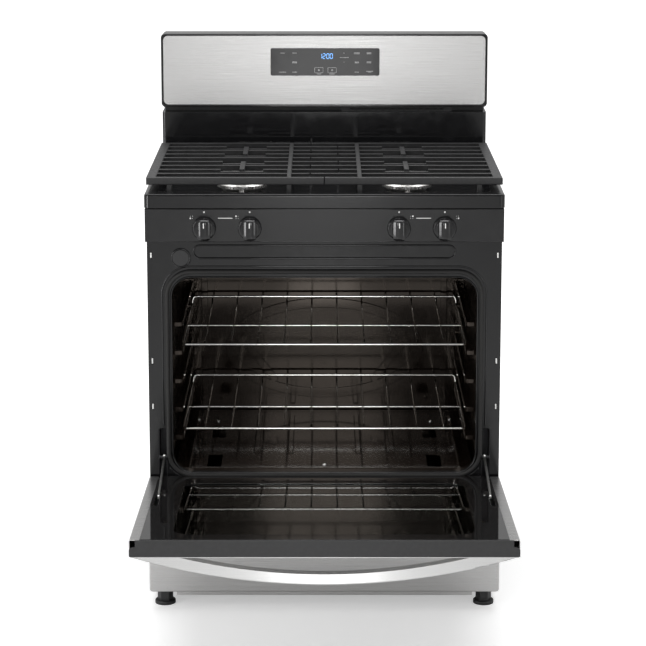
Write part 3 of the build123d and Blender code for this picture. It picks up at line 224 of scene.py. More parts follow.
# Enamel flow: a slow ripple from the fired coat and a broad haze that dulls the gloss in patches.
enamel_flow, given, result = new_group(
    "enamel_flow",
    [("Ripple Scale", FLOAT, 160.0), ("Low Roughness", FLOAT, 0.06), ("High Roughness", FLOAT, 0.16)],
    [("Height", FLOAT), ("Roughness", FLOAT), ("Haze", FLOAT)],
)
where = enamel_flow.nodes.new("ShaderNodeTexCoord").outputs["Object"]
ripple = noise_node(enamel_flow, where, 160.0, 2.0, 0.4)
enamel_flow.links.new(given.outputs["Ripple Scale"], ripple.inputs["Scale"])
haze = noise_node(enamel_flow, where, 5.0, 4.0, 0.6)
smears = noise_node(enamel_flow, where, 46.0, 3.0, 0.6)
haze_mix = math_node(enamel_flow, "MULTIPLY", haze.outputs["Fac"], smears.outputs["Fac"])
enamel_flow.links.new(ripple.outputs["Fac"], result.inputs["Height"])
enamel_flow.links.new(haze_mix, result.inputs["Haze"])
gloss = remap(enamel_flow, haze_mix, 0.12, 0.42, given.outputs["Low Roughness"],
              given.outputs["High Roughness"])
enamel_flow.links.new(gloss, result.inputs["Roughness"])


def new_material(name, colour, metallic=0.0, roughness=0.4):
    """A node material with a Principled shader; returns it, its tree and the shader."""
    material = bpy.data.materials.new(name)
    material.use_nodes = True
    shader = material.node_tree.nodes["Principled BSDF"]
    shader.inputs["Base Color"].default_value = (*colour, 1.0)
    shader.inputs["Metallic"].default_value = metallic
    shader.inputs["Roughness"].default_value = roughness
    return material, material.node_tree, shader


def place_group(tree, group, **values):
    """Puts a node group in a material's tree, its values given by socket name with _ for spaces."""
    node = tree.nodes.new("ShaderNodeGroup")
    node.node_tree = group
    for label, value in values.items():
        node.inputs[label.replace("_", " ")].default_value = value
    return node


def bump(tree, shader, height, strength, distance, edge=0.0):
    """Feeds a height to the shader's normal through a Bump node, over edges softened to a radius."""
    node = tree.nodes.new("ShaderNodeBump")
    node.inputs["Strength"].default_value = strength
    node.inputs["Distance"].default_value = distance
    tree.links.new(height, node.inputs["Height"])
    if edge:
        softened = tree.nodes.new("ShaderNodeBevel")
        softened.samples = 4
        softened.inputs["Radius"].default_value = edge
        tree.links.new(softened.outputs["Normal"], node.inputs["Normal"])
    tree.links.new(node.outputs["Normal"], shader.inputs["Normal"])


def dress(material, *nodes):
    """Gives a material to CAD nodes."""
    for name in nodes:
        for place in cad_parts[name].material_slots:
            place.material = material


def enamel(name, colour, low, high, ripple_scale=160.0, depth=0.00006, edge=0.0006):
    """Glossy fired enamel over sheet steel."""
    material, tree, shader = new_material(name, colour)
    flow = place_group(tree, enamel_flow, Ripple_Scale=ripple_scale, Low_Roughness=low, High_Roughness=high)
    tree.links.new(flow.outputs["Roughness"], shader.inputs["Roughness"])
    bump(tree, shader, flow.outputs["Height"], 0.35, depth, edge)
    return material, tree, shader


black_enamel, _, _ = enamel("black_enamel", (0.0065, 0.0065, 0.007), 0.08, 0.2)
dress(black_enamel, "side_panels", "cooktop", "front_frame", "backguard_shell", "header_surround")

panel_enamel, _, _ = enamel("control_panel_enamel", (0.0075, 0.0075, 0.008), 0.16, 0.27)
dress(panel_enamel, "control_panel")

# ---------------------------------------------------------------- oven cavity
# The liner is one deep enamelled box with a pressed back and rack ledges; its brown-black porcelain has
# fine pale flecks and a wetter gloss than the outside.
fleck_group, given, result = new_group(
    "flecks", [("Scale", FLOAT, 900.0), ("Size", FLOAT, 0.14)], [("Mask", FLOAT)])
where = fleck_group.nodes.new("ShaderNodeTexCoord").outputs["Object"]
cells = fleck_group.nodes.new("ShaderNodeTexVoronoi")
fleck_group.links.new(where, cells.inputs["Vector"])
fleck_group.links.new(given.outputs["Scale"], cells.inputs["Scale"])
spread = noise_node(fleck_group, where, 30.0, 2.0, 0.5)
limit = math_node(fleck_group, "MULTIPLY", given.outputs["Size"], spread.outputs["Fac"])
inside = math_node(fleck_group, "LESS_THAN", cells.outputs["Distance"], limit)
fleck_group.links.new(inside, result.inputs["Mask"])


def mix_colour(tree, mask, first, second):
    """Blends two colours by a mask."""
    node = tree.nodes.new("ShaderNodeMix")
    node.data_type = "RGBA"
    tree.links.new(mask, node.inputs["Factor"])
    for label, value in (("A", first), ("B", second)):
        socket = [s for s in node.inputs if s.name == label and s.type == "RGBA"][0]
        if isinstance(value, bpy.types.NodeSocket):
            tree.links.new(value, socket)
        else:
            socket.default_value = (*value, 1.0)
    return [s for s in node.outputs if s.type == "RGBA"][0]


OVEN_GROUND = (0.009, 0.006, 0.0045)
OVEN_FLECK = (0.03, 0.024, 0.02)
BROWN_SHEEN = (1.0, 0.87, 0.76, 1.0)
oven_enamel, tree, shader = enamel("oven_enamel", OVEN_GROUND, 0.07, 0.11, 40.0, 0.000006, 0.002)
flecks = place_group(tree, fleck_group, Scale=620.0, Size=0.36)
tree.links.new(mix_colour(tree, flecks.outputs["Mask"], OVEN_GROUND, OVEN_FLECK), shader.inputs["Base Color"])
shader.inputs["Specular Tint"].default_value = BROWN_SHEEN
dress(oven_enamel, "oven_liner", "oven_floor")

door_enamel, tree, shader = enamel(
    "door_liner_enamel", (0.0075, 0.007, 0.007), 0.03, 0.06, 40.0, 0.000004, 0.0008)
dress(door_enamel, "door_liner")

# ---------------------------------------------------------------- brushed stainless
# Door skin, drawer front and header are stainless sheet, linished sideways: long fine scratches that
# spread reflections up and down. The bow handle is a pressed bar with a finer, brighter polish.
brushed_group, given, result = new_group(
    "brushed_lines",
    [("Along", FLOAT, 6.0), ("Across", FLOAT, 2600.0), ("Low Roughness", FLOAT, 0.24),
     ("High Roughness", FLOAT, 0.36)],
    [("Height", FLOAT), ("Roughness", FLOAT), ("Streak", FLOAT)],
)
where = brushed_group.nodes.new("ShaderNodeTexCoord").outputs["Object"]
stretch = brushed_group.nodes.new("ShaderNodeCombineXYZ")
for axis, label in (("X", "Along"), ("Y", "Across"), ("Z", "Across")):
    brushed_group.links.new(given.outputs[label], stretch.inputs[axis])
stretched = brushed_group.nodes.new("ShaderNodeVectorMath")
stretched.operation = "MULTIPLY"
brushed_group.links.new(where, stretched.inputs[0])
brushed_group.links.new(stretch.outputs["Vector"], stretched.inputs[1])
scratch = noise_node(brushed_group, stretched.outputs["Vector"], 1.0, 3.0, 0.65)
broad = noise_node(brushed_group, stretched.outputs["Vector"], 0.45, 2.0, 0.6)
brushed_group.links.new(scratch.outputs["Fac"], result.inputs["Height"])
brushed_group.links.new(broad.outputs["Fac"], result.inputs["Streak"])
brushed_group.links.new(
    remap(brushed_group, scratch.outputs["Fac"], 0.3, 0.7, given.outputs["Low Roughness"],
          given.outputs["High Roughness"]), result.inputs["Roughness"])


def brushed_metal(name, colour, low, high, depth=0.00002, edge=0.0005, along=6.0, across=2600.0):
    """Linished metal sheet with its brushing along X."""
    material, tree, shader = new_material(name, colour, metallic=1.0)
    lines = place_group(tree, brushed_group, Along=along, Across=across, Low_Roughness=low,
                        High_Roughness=high)
    tree.links.new(lines.outputs["Roughness"], shader.inputs["Roughness"])
    darker = tuple(0.93 * c for c in colour)
    streak = remap(tree, lines.outputs["Streak"], 0.35, 0.65, 0.0, 1.0)
    tree.links.new(mix_colour(tree, streak, colour, darker), shader.inputs["Base Color"])
    bump(tree, shader, lines.outputs["Height"], 0.3, depth, edge)
    return material


stainless = brushed_metal("stainless_steel", (0.62, 0.615, 0.61), 0.24, 0.34)
dress(stainless, "door_skin", "drawer_front", "header_panel")
handle_steel = brushed_metal("bow_handle_steel", (0.66, 0.66, 0.655), 0.16, 0.22, 0.000008)
dress(handle_steel, "door_handle")

# ---------------------------------------------------------------- oven racks
# Steel wire racks, welded and then nickel-chromium plated, a little duller in scattered heat-stained patches.
chrome, tree, shader = new_material("rack_chrome", (0.8, 0.795, 0.78), 1.0, 0.12)
where = tree.nodes.new("ShaderNodeTexCoord").outputs["Object"]
tarnish = noise_node(tree, where, 40.0, 4.0, 0.6)
tree.links.new(remap(tree, tarnish.outputs["Fac"], 0.35, 0.7, 0.05, 0.16), shader.inputs["Roughness"])
CLEAN_PLATE = (0.94, 0.93, 0.91)
DULL_PLATE = (0.8, 0.76, 0.7)
heat_stain = remap(tree, tarnish.outputs["Fac"], 0.45, 0.75, 0.0, 1.0)
tree.links.new(mix_colour(tree, heat_stain, CLEAN_PLATE, DULL_PLATE), shader.inputs["Base Color"])
dress(chrome, "oven_rack_lower", "oven_rack_upper")

# ---------------------------------------------------------------- grates and burners
# The two pan grates are iron castings under a satin black enamel, with the sand's grain still showing.
# The burners are die-cast aluminium with enamelled caps and small ceramic igniters.
cast_group, given, result = new_group(
    "cast_grain", [("Scale", FLOAT, 700.0), ("Low Roughness", FLOAT, 0.3), ("High Roughness", FLOAT, 0.5)],
    [("Height", FLOAT), ("Roughness", FLOAT), ("Mask", FLOAT)])
where = cast_group.nodes.new("ShaderNodeTexCoord").outputs["Object"]
grain = noise_node(cast_group, where, 700.0, 4.0, 0.6)
cast_group.links.new(given.outputs["Scale"], grain.inputs["Scale"])
pits = noise_node(cast_group, where, 120.0, 2.0, 0.5)
relief = math_node(cast_group, "ADD", grain.outputs["Fac"], pits.outputs["Fac"])
cast_group.links.new(relief, result.inputs["Height"])
cast_group.links.new(pits.outputs["Fac"], result.inputs["Mask"])
cast_group.links.new(remap(cast_group, pits.outputs["Fac"], 0.3, 0.7, given.outputs["Low Roughness"],
                           given.outputs["High Roughness"]), result.inputs["Roughness"])


def cast(name, colour, metallic, low, high, scale=700.0, depth=0.0003, edge=0.0012):
    """A sand or die casting."""
    material, tree, shader = new_material(name, colour, metallic)
    grains = place_group(tree, cast_group, Scale=scale, Low_Roughness=low, High_Roughness=high)
    tree.links.new(grains.outputs["Roughness"], shader.inputs["Roughness"])
    lighter = tuple(min(1.0, 1.35 * c) for c in colour)
    patch = remap(tree, grains.outputs["Mask"], 0.4, 0.65, 0.0, 1.0)
    tree.links.new(mix_colour(tree, patch, colour, lighter), shader.inputs["Base Color"])
    bump(tree, shader, grains.outputs["Height"], 0.4, depth, edge)
    return material


grate_iron = cast("grate_iron", (0.02, 0.02, 0.0205), 0.0, 0.34, 0.48)
dress(grate_iron, "grate_left", "grate_right")
burner_alloy = cast("burner_aluminium", (0.72, 0.71, 0.69), 1.0, 0.3, 0.42, 900.0, 0.0001, 0.0004)
dress(burner_alloy, "burner_heads", "burner_bases")
cap_enamel = cast("cap_enamel", (0.014, 0.014, 0.0145), 0.0, 0.28, 0.4, 800.0, 0.0001, 0.001)
dress(cap_enamel, "burner_caps")
ceramic = cast("igniter_ceramic", (0.8, 0.78, 0.74), 0.0, 0.4, 0.6, 1200.0, 0.00005, 0.0003)
dress(ceramic, "igniters")

# ---------------------------------------------------------------- plastics and the board
# Door trim, frame plug, vent trim, inlet gland and feet are black mouldings with a fine spark-eroded
# grain. The control board is a green glass-fibre laminate.
moulded = cast("black_plastic", (0.018, 0.018, 0.0185), 0.0, 0.38, 0.5, 1500.0, 0.00005, 0.0006)
dress(moulded, "door_top_trim", "frame_plug", "vent_trim", "power_inlet_gland", "levelling_legs")
board = cast("board_laminate", (0.03, 0.12, 0.06), 0.0, 0.4, 0.5)
dress(board, "control_board")

# ---------------------------------------------------------------- pressed beads of the front frame
# The frame's sheet is coined into narrow rounded beads: round the long top channel, round the plug, and
# at both edges of the gasket's band, where the outer bead stops short of the hinge pockets.
def bead(path, out, half, height, closed, parts=12):
    """The grid of a low rounded bead: at each point of the path an ellipse, half wide across it and height
    along out, with its underside held just under the sheet; an open bead shrinks to a point at its ends."""
    path = np.asarray(path, float)
    out = np.asarray(out, float)
    if closed:
        along = np.roll(path, -1, 0) - np.roll(path, 1, 0)
        size = np.ones(len(path))
    else:
        along = np.gradient(path, axis=0)
        run = np.concatenate([[0.0], np.cumsum(np.linalg.norm(np.diff(path, axis=0), axis=1))])
        near = np.minimum(run, run[-1] - run) / (1.6 * half)
        size = np.sqrt(np.clip(near * (2.0 - near), 0.0, 1.0) * (near < 1.0) + (near >= 1.0))
    side = np.cross(along, out)
    side /= np.linalg.norm(side, axis=1)[:, None]
    turn = np.linspace(0.0, 2.0 * pi, parts, endpoint=False)
    across = (half * size[:, None] * np.cos(turn))[..., None] * side[:, None, :]
    lift = (height * size[:, None] * np.maximum(np.sin(turn), -0.3))[..., None] * out
    return path[:, None, :] + across + lift, closed, True


def rounded_loop(half_x, z0, z1, radius, y, steps=18):
    """A closed path in a plane of constant y: four corner arcs about their centres, joined by straights."""
    turn = np.linspace(0.0, pi / 2.0, steps)[None, :] + np.arange(4)[:, None] * pi / 2.0
    centre_x = (half_x - radius) * np.array([1, -1, -1, 1])[:, None]
    centre_z = np.array([z1 - radius, z1 - radius, z0 + radius, z0 + radius])[:, None]
    x = centre_x + radius * np.cos(turn)
    z = centre_z + radius * np.sin(turn)
    return np.stack([x.ravel(), np.full(x.size, y), z.ravel()], -1)


def ends_eased(path, reach=0.003, steps=6):
    """Adds points near both ends of an open path, spaced so that its ends round off evenly."""
    ease = reach * (1.0 - np.cos(np.linspace(0.0, pi / 2.0, steps)))[:, None]
    first = path[0] + ease * (path[1] - path[0]) / np.linalg.norm(path[1] - path[0])
    last = path[-1] + ease[::-1] * (path[-2] - path[-1]) / np.linalg.norm(path[-2] - path[-1])
    return np.concatenate([first, path[1:-1], last])


FRONT = np.array([0.0, -1.0, 0.0])
FRAME_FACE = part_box("front_frame")[0][1]
BAND_FACE = FRAME_FACE + 0.0016
# Half-width, lowest and highest z, and corner radius of each loop.
CHANNEL = (0.2782, 0.7694, 0.7978, 0.0142)
BAND = (0.3462, 0.2842, 0.752, 0.0612)
MOUTH = (0.3272, 0.2963, 0.7288, 0.0442)
POCKET_TOP = 0.402         # the outer bead starts again above the hinge pocket
POCKET_SIDE = 0.334        # and its lower run ends this side of it
PLUG = (-0.305, 0.7704)
PLUG_RING = 0.0196

channel_bead = bead(rounded_loop(*CHANNEL, FRAME_FACE), FRONT, 0.0018, 0.0018, True, 20)
outer = rounded_loop(*BAND, FRAME_FACE, 40)
side_low, side_high = outer[outer[:, 2] < 0.4], outer[outer[:, 2] > 0.4]
right_end, left_end = [[side * BAND[0], FRAME_FACE, POCKET_TOP] for side in (1, -1)]
upper = np.concatenate([[right_end], side_high, [left_end]])
lower = side_low[np.abs(side_low[:, 0]) < POCKET_SIDE]
band_beads = [bead(ends_eased(run), FRONT, 0.0019, 0.0013, False, 20) for run in (upper, lower)]
mouth_bead = bead(rounded_loop(*MOUTH, BAND_FACE, 24), FRONT, 0.002, 0.0024, True, 20)
turn = np.linspace(0.0, 2.0 * pi, 64, endpoint=False)
plug_path = np.stack([PLUG[0] + PLUG_RING * np.cos(turn), np.full_like(turn, FRAME_FACE),
                      PLUG[1] + PLUG_RING * np.sin(turn)], -1)
plug_bead = bead(plug_path, FRONT, 0.002, 0.0024, True, 20)
frame_beads = surface("frame_beads", [channel_bead, *band_beads, mouth_bead, plug_bead])
bead_enamel, _, _ = enamel("bead_enamel", (0.0075, 0.0075, 0.008), 0.03, 0.07, 160.0, 0.00001)
frame_beads.data.materials.append(bead_enamel)
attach(frame_beads, "chassis")

# Rolled edges: the control panel's top and bottom folds and the cooktop's lip each show one tight, bright
# radius across the whole front.
panel_low, panel_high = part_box("control_panel")
lip_low, lip_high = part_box("cooktop")
EDGE_HALF = 0.3775
across = np.linspace(-EDGE_HALF, EDGE_HALF, 24)


def straight(y, z):
    """A straight run across the front at one y and z."""
    return ends_eased(np.stack([across, np.full_like(across, y), np.full_like(across, z)], -1))


edge_beads = surface("rolled_edges", [
    bead(straight(panel_low[1], panel_high[2] - 0.0011), FRONT, 0.0009, 0.0006, False),
    bead(straight(panel_low[1], panel_low[2] + 0.0009), FRONT, 0.0007, 0.0005, False),
    bead(straight(lip_low[1] + 0.0007, lip_high[2] - 0.0008), (0.0, -0.6, 0.8), 0.0011, 0.0007, False),
])
edge_beads.data.materials.append(bead_enamel)
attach(edge_beads, "chassis")

# Body clips: bare zinc tongues of the side panels hooked through the frame's slots.
def rounded_sign(value, power):
    """The sign of a value times its size raised to a power, which squares up a cosine or a sine."""
    return np.sign(value) * np.abs(value) ** power


def slab(x0, x1, y0, y1, z0, z1, round_by):
    """The grid of a small bar along z: a rounded rectangle drawn round its section, closed to a point at
    each end over a short rounded run."""
    turn = np.linspace(0.0, 2.0 * pi, 32, endpoint=False)
    height = np.linspace(-1.0, 1.0, 25)
    size = (1.0 - np.abs(height) ** 14) ** round_by
    x = (x0 + x1) / 2 + (x1 - x0) / 2 * rounded_sign(np.cos(turn), 0.35) * size[:, None]
    y = (y0 + y1) / 2 + (y1 - y0) / 2 * rounded_sign(np.sin(turn), 0.35) * size[:, None]
    z = np.broadcast_to(((z0 + z1) / 2 + (z1 - z0) / 2 * height)[:, None], x.shape)
    return np.stack([x, y, z], -1), False, True


CLIP_HEIGHTS = (0.776, 0.545, 0.4445)
CLIP_X = 0.3685
CLIP_HALF = (0.0016, 0.0062)
clips = surface("frame_clips", [
    slab(side * CLIP_X - CLIP_HALF[0], side * CLIP_X + CLIP_HALF[0], FRAME_FACE - 0.0004, FRAME_FACE + 0.0014,
         z - CLIP_HALF[1], z + CLIP_HALF[1], 0.5)
    for side in (-1, 1) for z in CLIP_HEIGHTS])
clip_zinc, tree, shader = new_material("clip_zinc", (0.82, 0.82, 0.8), 1.0, 0.3)
spangle = noise_node(tree, tree.nodes.new("ShaderNodeTexCoord").outputs["Object"], 300.0, 3.0, 0.6)
tree.links.new(remap(tree, spangle.outputs["Fac"], 0.3, 0.7, 0.22, 0.42), shader.inputs["Roughness"])
clips.data.materials.append(clip_zinc)
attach(clips, "chassis")

# ---------------------------------------------------------------- control knobs
# Each knob is one glossy black moulding on a D stem: a round skirt with a rolled edge and a tall grip
# with slanting shoulders, filled with a white pointer line at its top.
def lathe(profile, centre_x, centre_z, turns=96):
    """A profile of (radius, y) points turned about the line along y through (centre_x, centre_z)."""
    profile = np.asarray(profile)
    turn = np.linspace(0.0, 2.0 * pi, turns, endpoint=False)
    x = centre_x + profile[:, :1] * np.cos(turn)
    z = centre_z + profile[:, :1] * np.sin(turn)
    y = np.broadcast_to(profile[:, 1:], x.shape)
    return np.stack([x, y, z], -1), False, True


def filleted(points, radius, steps=5):
    """A line of (a, b) points with each inner corner replaced by a short quadratic curve of that reach."""
    points = np.asarray(points, float)
    before = points[:-2] - points[1:-1]
    after = points[2:] - points[1:-1]
    length_in = np.linalg.norm(before, axis=1)
    length_out = np.linalg.norm(after, axis=1)
    reach = np.minimum(np.minimum(length_in, length_out) * 0.48, radius)[:, None]
    start = points[1:-1] + before / length_in[:, None] * reach
    end = points[1:-1] + after / length_out[:, None] * reach
    t = np.linspace(0.0, 1.0, steps)[None, :, None]
    curve = (1 - t) ** 2 * start[:, None] + 2 * t * (1 - t) * points[1:-1, None] + t ** 2 * end[:, None]
    return np.concatenate([points[:1], curve.reshape(-1, 2), points[-1:]])


PANEL_FACE = panel_low[1]
KNOB_Z = 0.841
KNOB_X = {"front_left": -0.253, "rear_left": -0.157, "rear_right": 0.157, "front_right": 0.253}
SKIRT = [(0.0, 0.027), (0.0039, 0.027), (0.0039, -0.0068), (0.0205, -0.0068), (0.0205, -0.0038),
         (0.0249, -0.0038), (0.0249, -0.0054), (0.0228, -0.0094), (0.0185, -0.0102), (0.0, -0.0102)]
GRIP_ROOT = -0.0098
GRIP_TALL = 0.0243         # half the grip's height
GRIP = [(-0.0142, GRIP_ROOT), (-0.0138, -0.0268), (-0.0062, -0.031), (0.0062, -0.031),
        (0.0138, -0.0268), (0.0142, GRIP_ROOT)]


def grip_grid(x, z):
    """The grip's section, drawn across x and y and carried up z; its ends round down to its root."""
    section = filleted(GRIP, 0.0016, 6)
    height = np.sin(np.linspace(-pi / 2, pi / 2, 61))
    size = (1.0 - height ** 8) ** 0.5
    wide = x + section[None, :, 0] * size[:, None]
    deep = PANEL_FACE + GRIP_ROOT + (section[None, :, 1] - GRIP_ROOT) * size[:, None] ** 0.8
    tall = np.broadcast_to((z + GRIP_TALL * height)[:, None], wide.shape)
    return np.stack([wide, deep, tall], -1), False, True


def pad(x, y, z, half_x, half_z, square, rise, rings=5, turns=28):
    """A low domed spot facing the front: rings of a rounded square shrinking to its middle."""
    turn = np.linspace(0.0, 2.0 * pi, turns, endpoint=False)
    reach = np.concatenate([[0.0], np.linspace(0.8, 1.0, rings), [1.0, 0.0]])[:, None]
    lift = np.concatenate([[rise], rise * np.sqrt(np.clip(1 - np.linspace(0.0, 1.0, rings) ** 2, 0, 1)),
                           [-rise, -rise]])[:, None]
    wide = x + half_x * reach * rounded_sign(np.cos(turn), 2.0 / square)
    tall = z + half_z * reach * rounded_sign(np.sin(turn), 2.0 / square)
    return np.stack([wide, y - lift + 0.0 * wide, tall], -1), False, True


knob_gloss = cast("knob_gloss", (0.009, 0.009, 0.0095), 0.0, 0.05, 0.12, 1500.0, 0.000006, 0.0)
white_ink, tree, shader = new_material("white_ink", (0.86, 0.86, 0.84), 0.0, 0.45)
ink_grain = noise_node(tree, tree.nodes.new("ShaderNodeTexCoord").outputs["Object"], 2500.0, 3.0, 0.6)
tree.links.new(mix_colour(tree, ink_grain.outputs["Fac"], (0.8, 0.8, 0.78), (0.92, 0.92, 0.9)),
               shader.inputs["Base Color"])
skirt_line = filleted(np.array(SKIRT) + (0.0, PANEL_FACE), 0.0012, 5)
for place, knob_x in KNOB_X.items():
    knob = surface("knob_moulding_" + place, [lathe(skirt_line, knob_x, KNOB_Z), grip_grid(knob_x, KNOB_Z)],
                   sharp=50)
    knob.data.materials.append(knob_gloss)
    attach(knob, "knob_" + place)
    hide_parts("knob_" + place)
    pointer = surface("knob_pointer_" + place,
                      [pad(knob_x, PANEL_FACE - 0.0309, KNOB_Z + 0.0105, 0.0011, 0.0056, 6.0, 0.0003)])
    pointer.data.materials.append(white_ink)
    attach(pointer, "knob_" + place)

# Control panel marks: a printed dot over each knob, a small four-burner key beside it with its own burner
# filled, and a thin rule between each pair.
DOT_Z = 0.8755
DOT_HALF = 0.0018
KEY_Z = 0.8645
KEY_OFFSET = 0.0265        # from a knob out to its burner key
KEY_PITCH = 0.0023
OWN_SPOT = 0.00165
OTHER_SPOT = 0.0006
RULE = (0.2085, 0.8625, 0.0155, 0.0008)
INK_RISE = 0.00015
ROUND = 2.0
marks = []
for place, knob_x in KNOB_X.items():
    outward = np.sign(knob_x)
    marks.append(pad(knob_x, PANEL_FACE, DOT_Z, DOT_HALF, DOT_HALF, ROUND, INK_RISE))
    key_x = knob_x + outward * KEY_OFFSET
    for column in (-1, 1):
        for row in (-1, 1):
            own = column == outward and (row < 0) == place.startswith("front")
            spot = OWN_SPOT if own else OTHER_SPOT
            spot_x = key_x + KEY_PITCH * column
            marks.append(pad(spot_x, PANEL_FACE, KEY_Z + KEY_PITCH * row, spot, spot, ROUND, INK_RISE))
for side in (-1, 1):
    marks.append(pad(side * RULE[0], PANEL_FACE, RULE[1], RULE[2], RULE[3], 8.0, INK_RISE))
panel_marks = surface("panel_marks", marks)
panel_marks.data.materials.append(white_ink)
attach(panel_marks, "chassis")

# ---------------------------------------------------------------- plain metals
# Hidden and rear parts keep their mill finishes: galvanised sheet, zinc and phosphated hinge steel,
# bent steel and aluminium tube, and turned brass.
zinc = brushed_metal("galvanised_steel", (0.56, 0.57, 0.58), 0.32, 0.5)
dress(zinc, "back_panel", "backguard_rear_cover", "base_frame", "drawer_rails", "drawer_pan",
      "drawer_runners")
hinge_steel = brushed_metal("hinge_steel", (0.62, 0.62, 0.6), 0.24, 0.36)
dress(hinge_steel, "hinge_link_left", "hinge_link_right", "door_hinge_channels",
      "door_hinge_springs", "door_window_frame")
phosphate = cast("hinge_phosphate", (0.03, 0.03, 0.032), 0.6, 0.4, 0.55, 1400.0, 0.00003, 0.0003)
dress(phosphate, "hinge_receivers", "hinge_claws")
collar_steel = brushed_metal("collar_steel", (0.6, 0.6, 0.6), 0.2, 0.3)
dress(collar_steel, "stem_collar_front_left", "stem_collar_rear_left", "stem_collar_rear_right",
      "stem_collar_front_right")
burner_tube = brushed_metal("burner_steel", (0.46, 0.43, 0.39), 0.35, 0.5)
dress(burner_tube, "oven_burners", "gas_manifold")
tube_alloy = brushed_metal("tube_aluminium", (0.7, 0.7, 0.7), 0.25, 0.35)
dress(tube_alloy, "supply_tubes")
brass = brushed_metal("valve_brass", (0.75, 0.56, 0.27), 0.2, 0.35)
dress(brass, "gas_valves", "pressure_regulator")
probe = brushed_metal("probe_steel", (0.75, 0.75, 0.74), 0.12, 0.22)
dress(probe, "temperature_probe", "oven_floor_screws")

# ---------------------------------------------------------------- touch glass
# The touch panel is a black-printed glass bonded into the header, with a slightly subdued gloss.
touch, tree, shader = enamel("control_glass", (0.003, 0.003, 0.0035), 0.05, 0.1, 60.0, 0.00002, 0.0005)
shader.inputs["Specular IOR Level"].default_value = 0.3
dress(touch, "touch_panel")

# Behind the glass are a blue clock, and printed on it are two outlined keys and rows of plain legend bars.
GLASS_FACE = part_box("touch_panel")[0][1]
LIT_BARS = {"top": (0, 1), "middle": (0, 0), "bottom": (0, -1), "upper_left": (-1, 0.5),
            "upper_right": (1, 0.5), "lower_left": (-1, -0.5), "lower_right": (1, -0.5)}
DIGITS = {"1": "upper_right lower_right", "2": "top upper_right middle lower_left bottom",
          "0": "top upper_left upper_right lower_left lower_right bottom"}
DIGIT_HALF = (0.0027, 0.0058)
UPRIGHT_BAR = (0.0006, 0.0024)
LEVEL_BAR = (0.0022, 0.0006)
LIT_RISE = 0.00008
CLOCK_Z = 1.1385
CLOCK_X = (-0.0085, -0.0005, 0.0083, 0.0163)
COLON = (0.0039, 0.0027, 0.0006)


def digit(figure, x, z):
    """A seven-bar figure: each bar lies half a figure's width or height from its middle."""
    bars = []
    for label in DIGITS[figure].split():
        over, up = LIT_BARS[label]
        half_x, half_z = UPRIGHT_BAR if over else LEVEL_BAR
        bar_x = x + over * DIGIT_HALF[0]
        bar_z = z + up * DIGIT_HALF[1]
        bars.append(pad(bar_x, GLASS_FACE, bar_z, half_x, half_z, 4.0, LIT_RISE, 3, 12))
    return bars


clock = []
for figure, x in zip("1200", CLOCK_X):
    clock += digit(figure, x, CLOCK_Z)
for z in (CLOCK_Z - COLON[1], CLOCK_Z + COLON[1]):
    clock.append(pad(COLON[0], GLASS_FACE, z, COLON[2], COLON[2], ROUND, LIT_RISE, 3, 12))
clock_figures = surface("clock_figures", clock)
clock_blue, tree, shader = new_material("clock_blue", (0.1, 0.3, 0.8), 0.0, 0.4)
flicker = noise_node(tree, tree.nodes.new("ShaderNodeTexCoord").outputs["Object"], 600.0, 2.0, 0.5)
tree.links.new(mix_colour(tree, flicker.outputs["Fac"], (0.12, 0.42, 1.0), (0.3, 0.62, 1.0)),
               shader.inputs["Emission Color"])
shader.inputs["Emission Strength"].default_value = 1.5
clock_figures.data.materials.append(clock_blue)
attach(clock_figures, "chassis")

# Each printed bar's middle, x and z, and half its length.
LEGENDS = [
    (-0.097, 1.1457, 0.005), (-0.069, 1.1457, 0.005), (-0.069, 1.1250, 0.0055), (-0.069, 1.1229, 0.0055),
    (-0.097, 1.1013, 0.0085), (-0.069, 1.1013, 0.0055), (0.0463, 1.1352, 0.0105), (0.0753, 1.1462, 0.007),
    (0.0753, 1.1440, 0.007), (0.1037, 1.1462, 0.0055), (0.1037, 1.1440, 0.0055), (0.0753, 1.1250, 0.0048),
    (0.0753, 1.1229, 0.0048), (0.1037, 1.1250, 0.0053), (0.1037, 1.1229, 0.0053), (0.0753, 1.1013, 0.005),
    (0.1052, 1.1033, 0.0083), (0.1052, 1.1012, 0.004), (-0.0126, 1.0969, 0.0055), (0.0181, 1.0969, 0.0065),
]
PRINT_RISE = 0.00006
KEY_XS = (-0.0126, 0.0181)
KEY_BOX = (0.0098, 1.0996, 1.1118, 0.0016)
ARROW_X = 0.0456
legend = [pad(x, GLASS_FACE, z, half, 0.0007, 8.0, PRINT_RISE, 3, 12) for x, z, half in LEGENDS]
for x in KEY_XS:
    loop = rounded_loop(*KEY_BOX, GLASS_FACE, 5) + (x, 0.0, 0.0)
    legend.append(bead(loop, FRONT, 0.00045, 0.0001, True, 8))
    legend.append(pad(x, GLASS_FACE, 1.1057, 0.0021, 0.0021, ROUND, PRINT_RISE, 3, 16))
for z in (1.1457, 1.1247):
    legend.append(pad(ARROW_X, GLASS_FACE, z, 0.0016, 0.0009, 1.2, PRINT_RISE, 3, 12))
glass_legend = surface("glass_legend", legend)
legend_ink, tree, shader = new_material("legend_ink", (0.5, 0.5, 0.5), 0.0, 0.5)
ink_grain = noise_node(tree, tree.nodes.new("ShaderNodeTexCoord").outputs["Object"], 900.0, 3.0, 0.6)
worn = remap(tree, ink_grain.outputs["Fac"], 0.35, 0.65, 0.0, 1.0)
tree.links.new(mix_colour(tree, worn, (0.25, 0.25, 0.25), (0.7, 0.7, 0.7)), shader.inputs["Base Color"])
glass_legend.data.materials.append(legend_ink)
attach(glass_legend, "chassis")


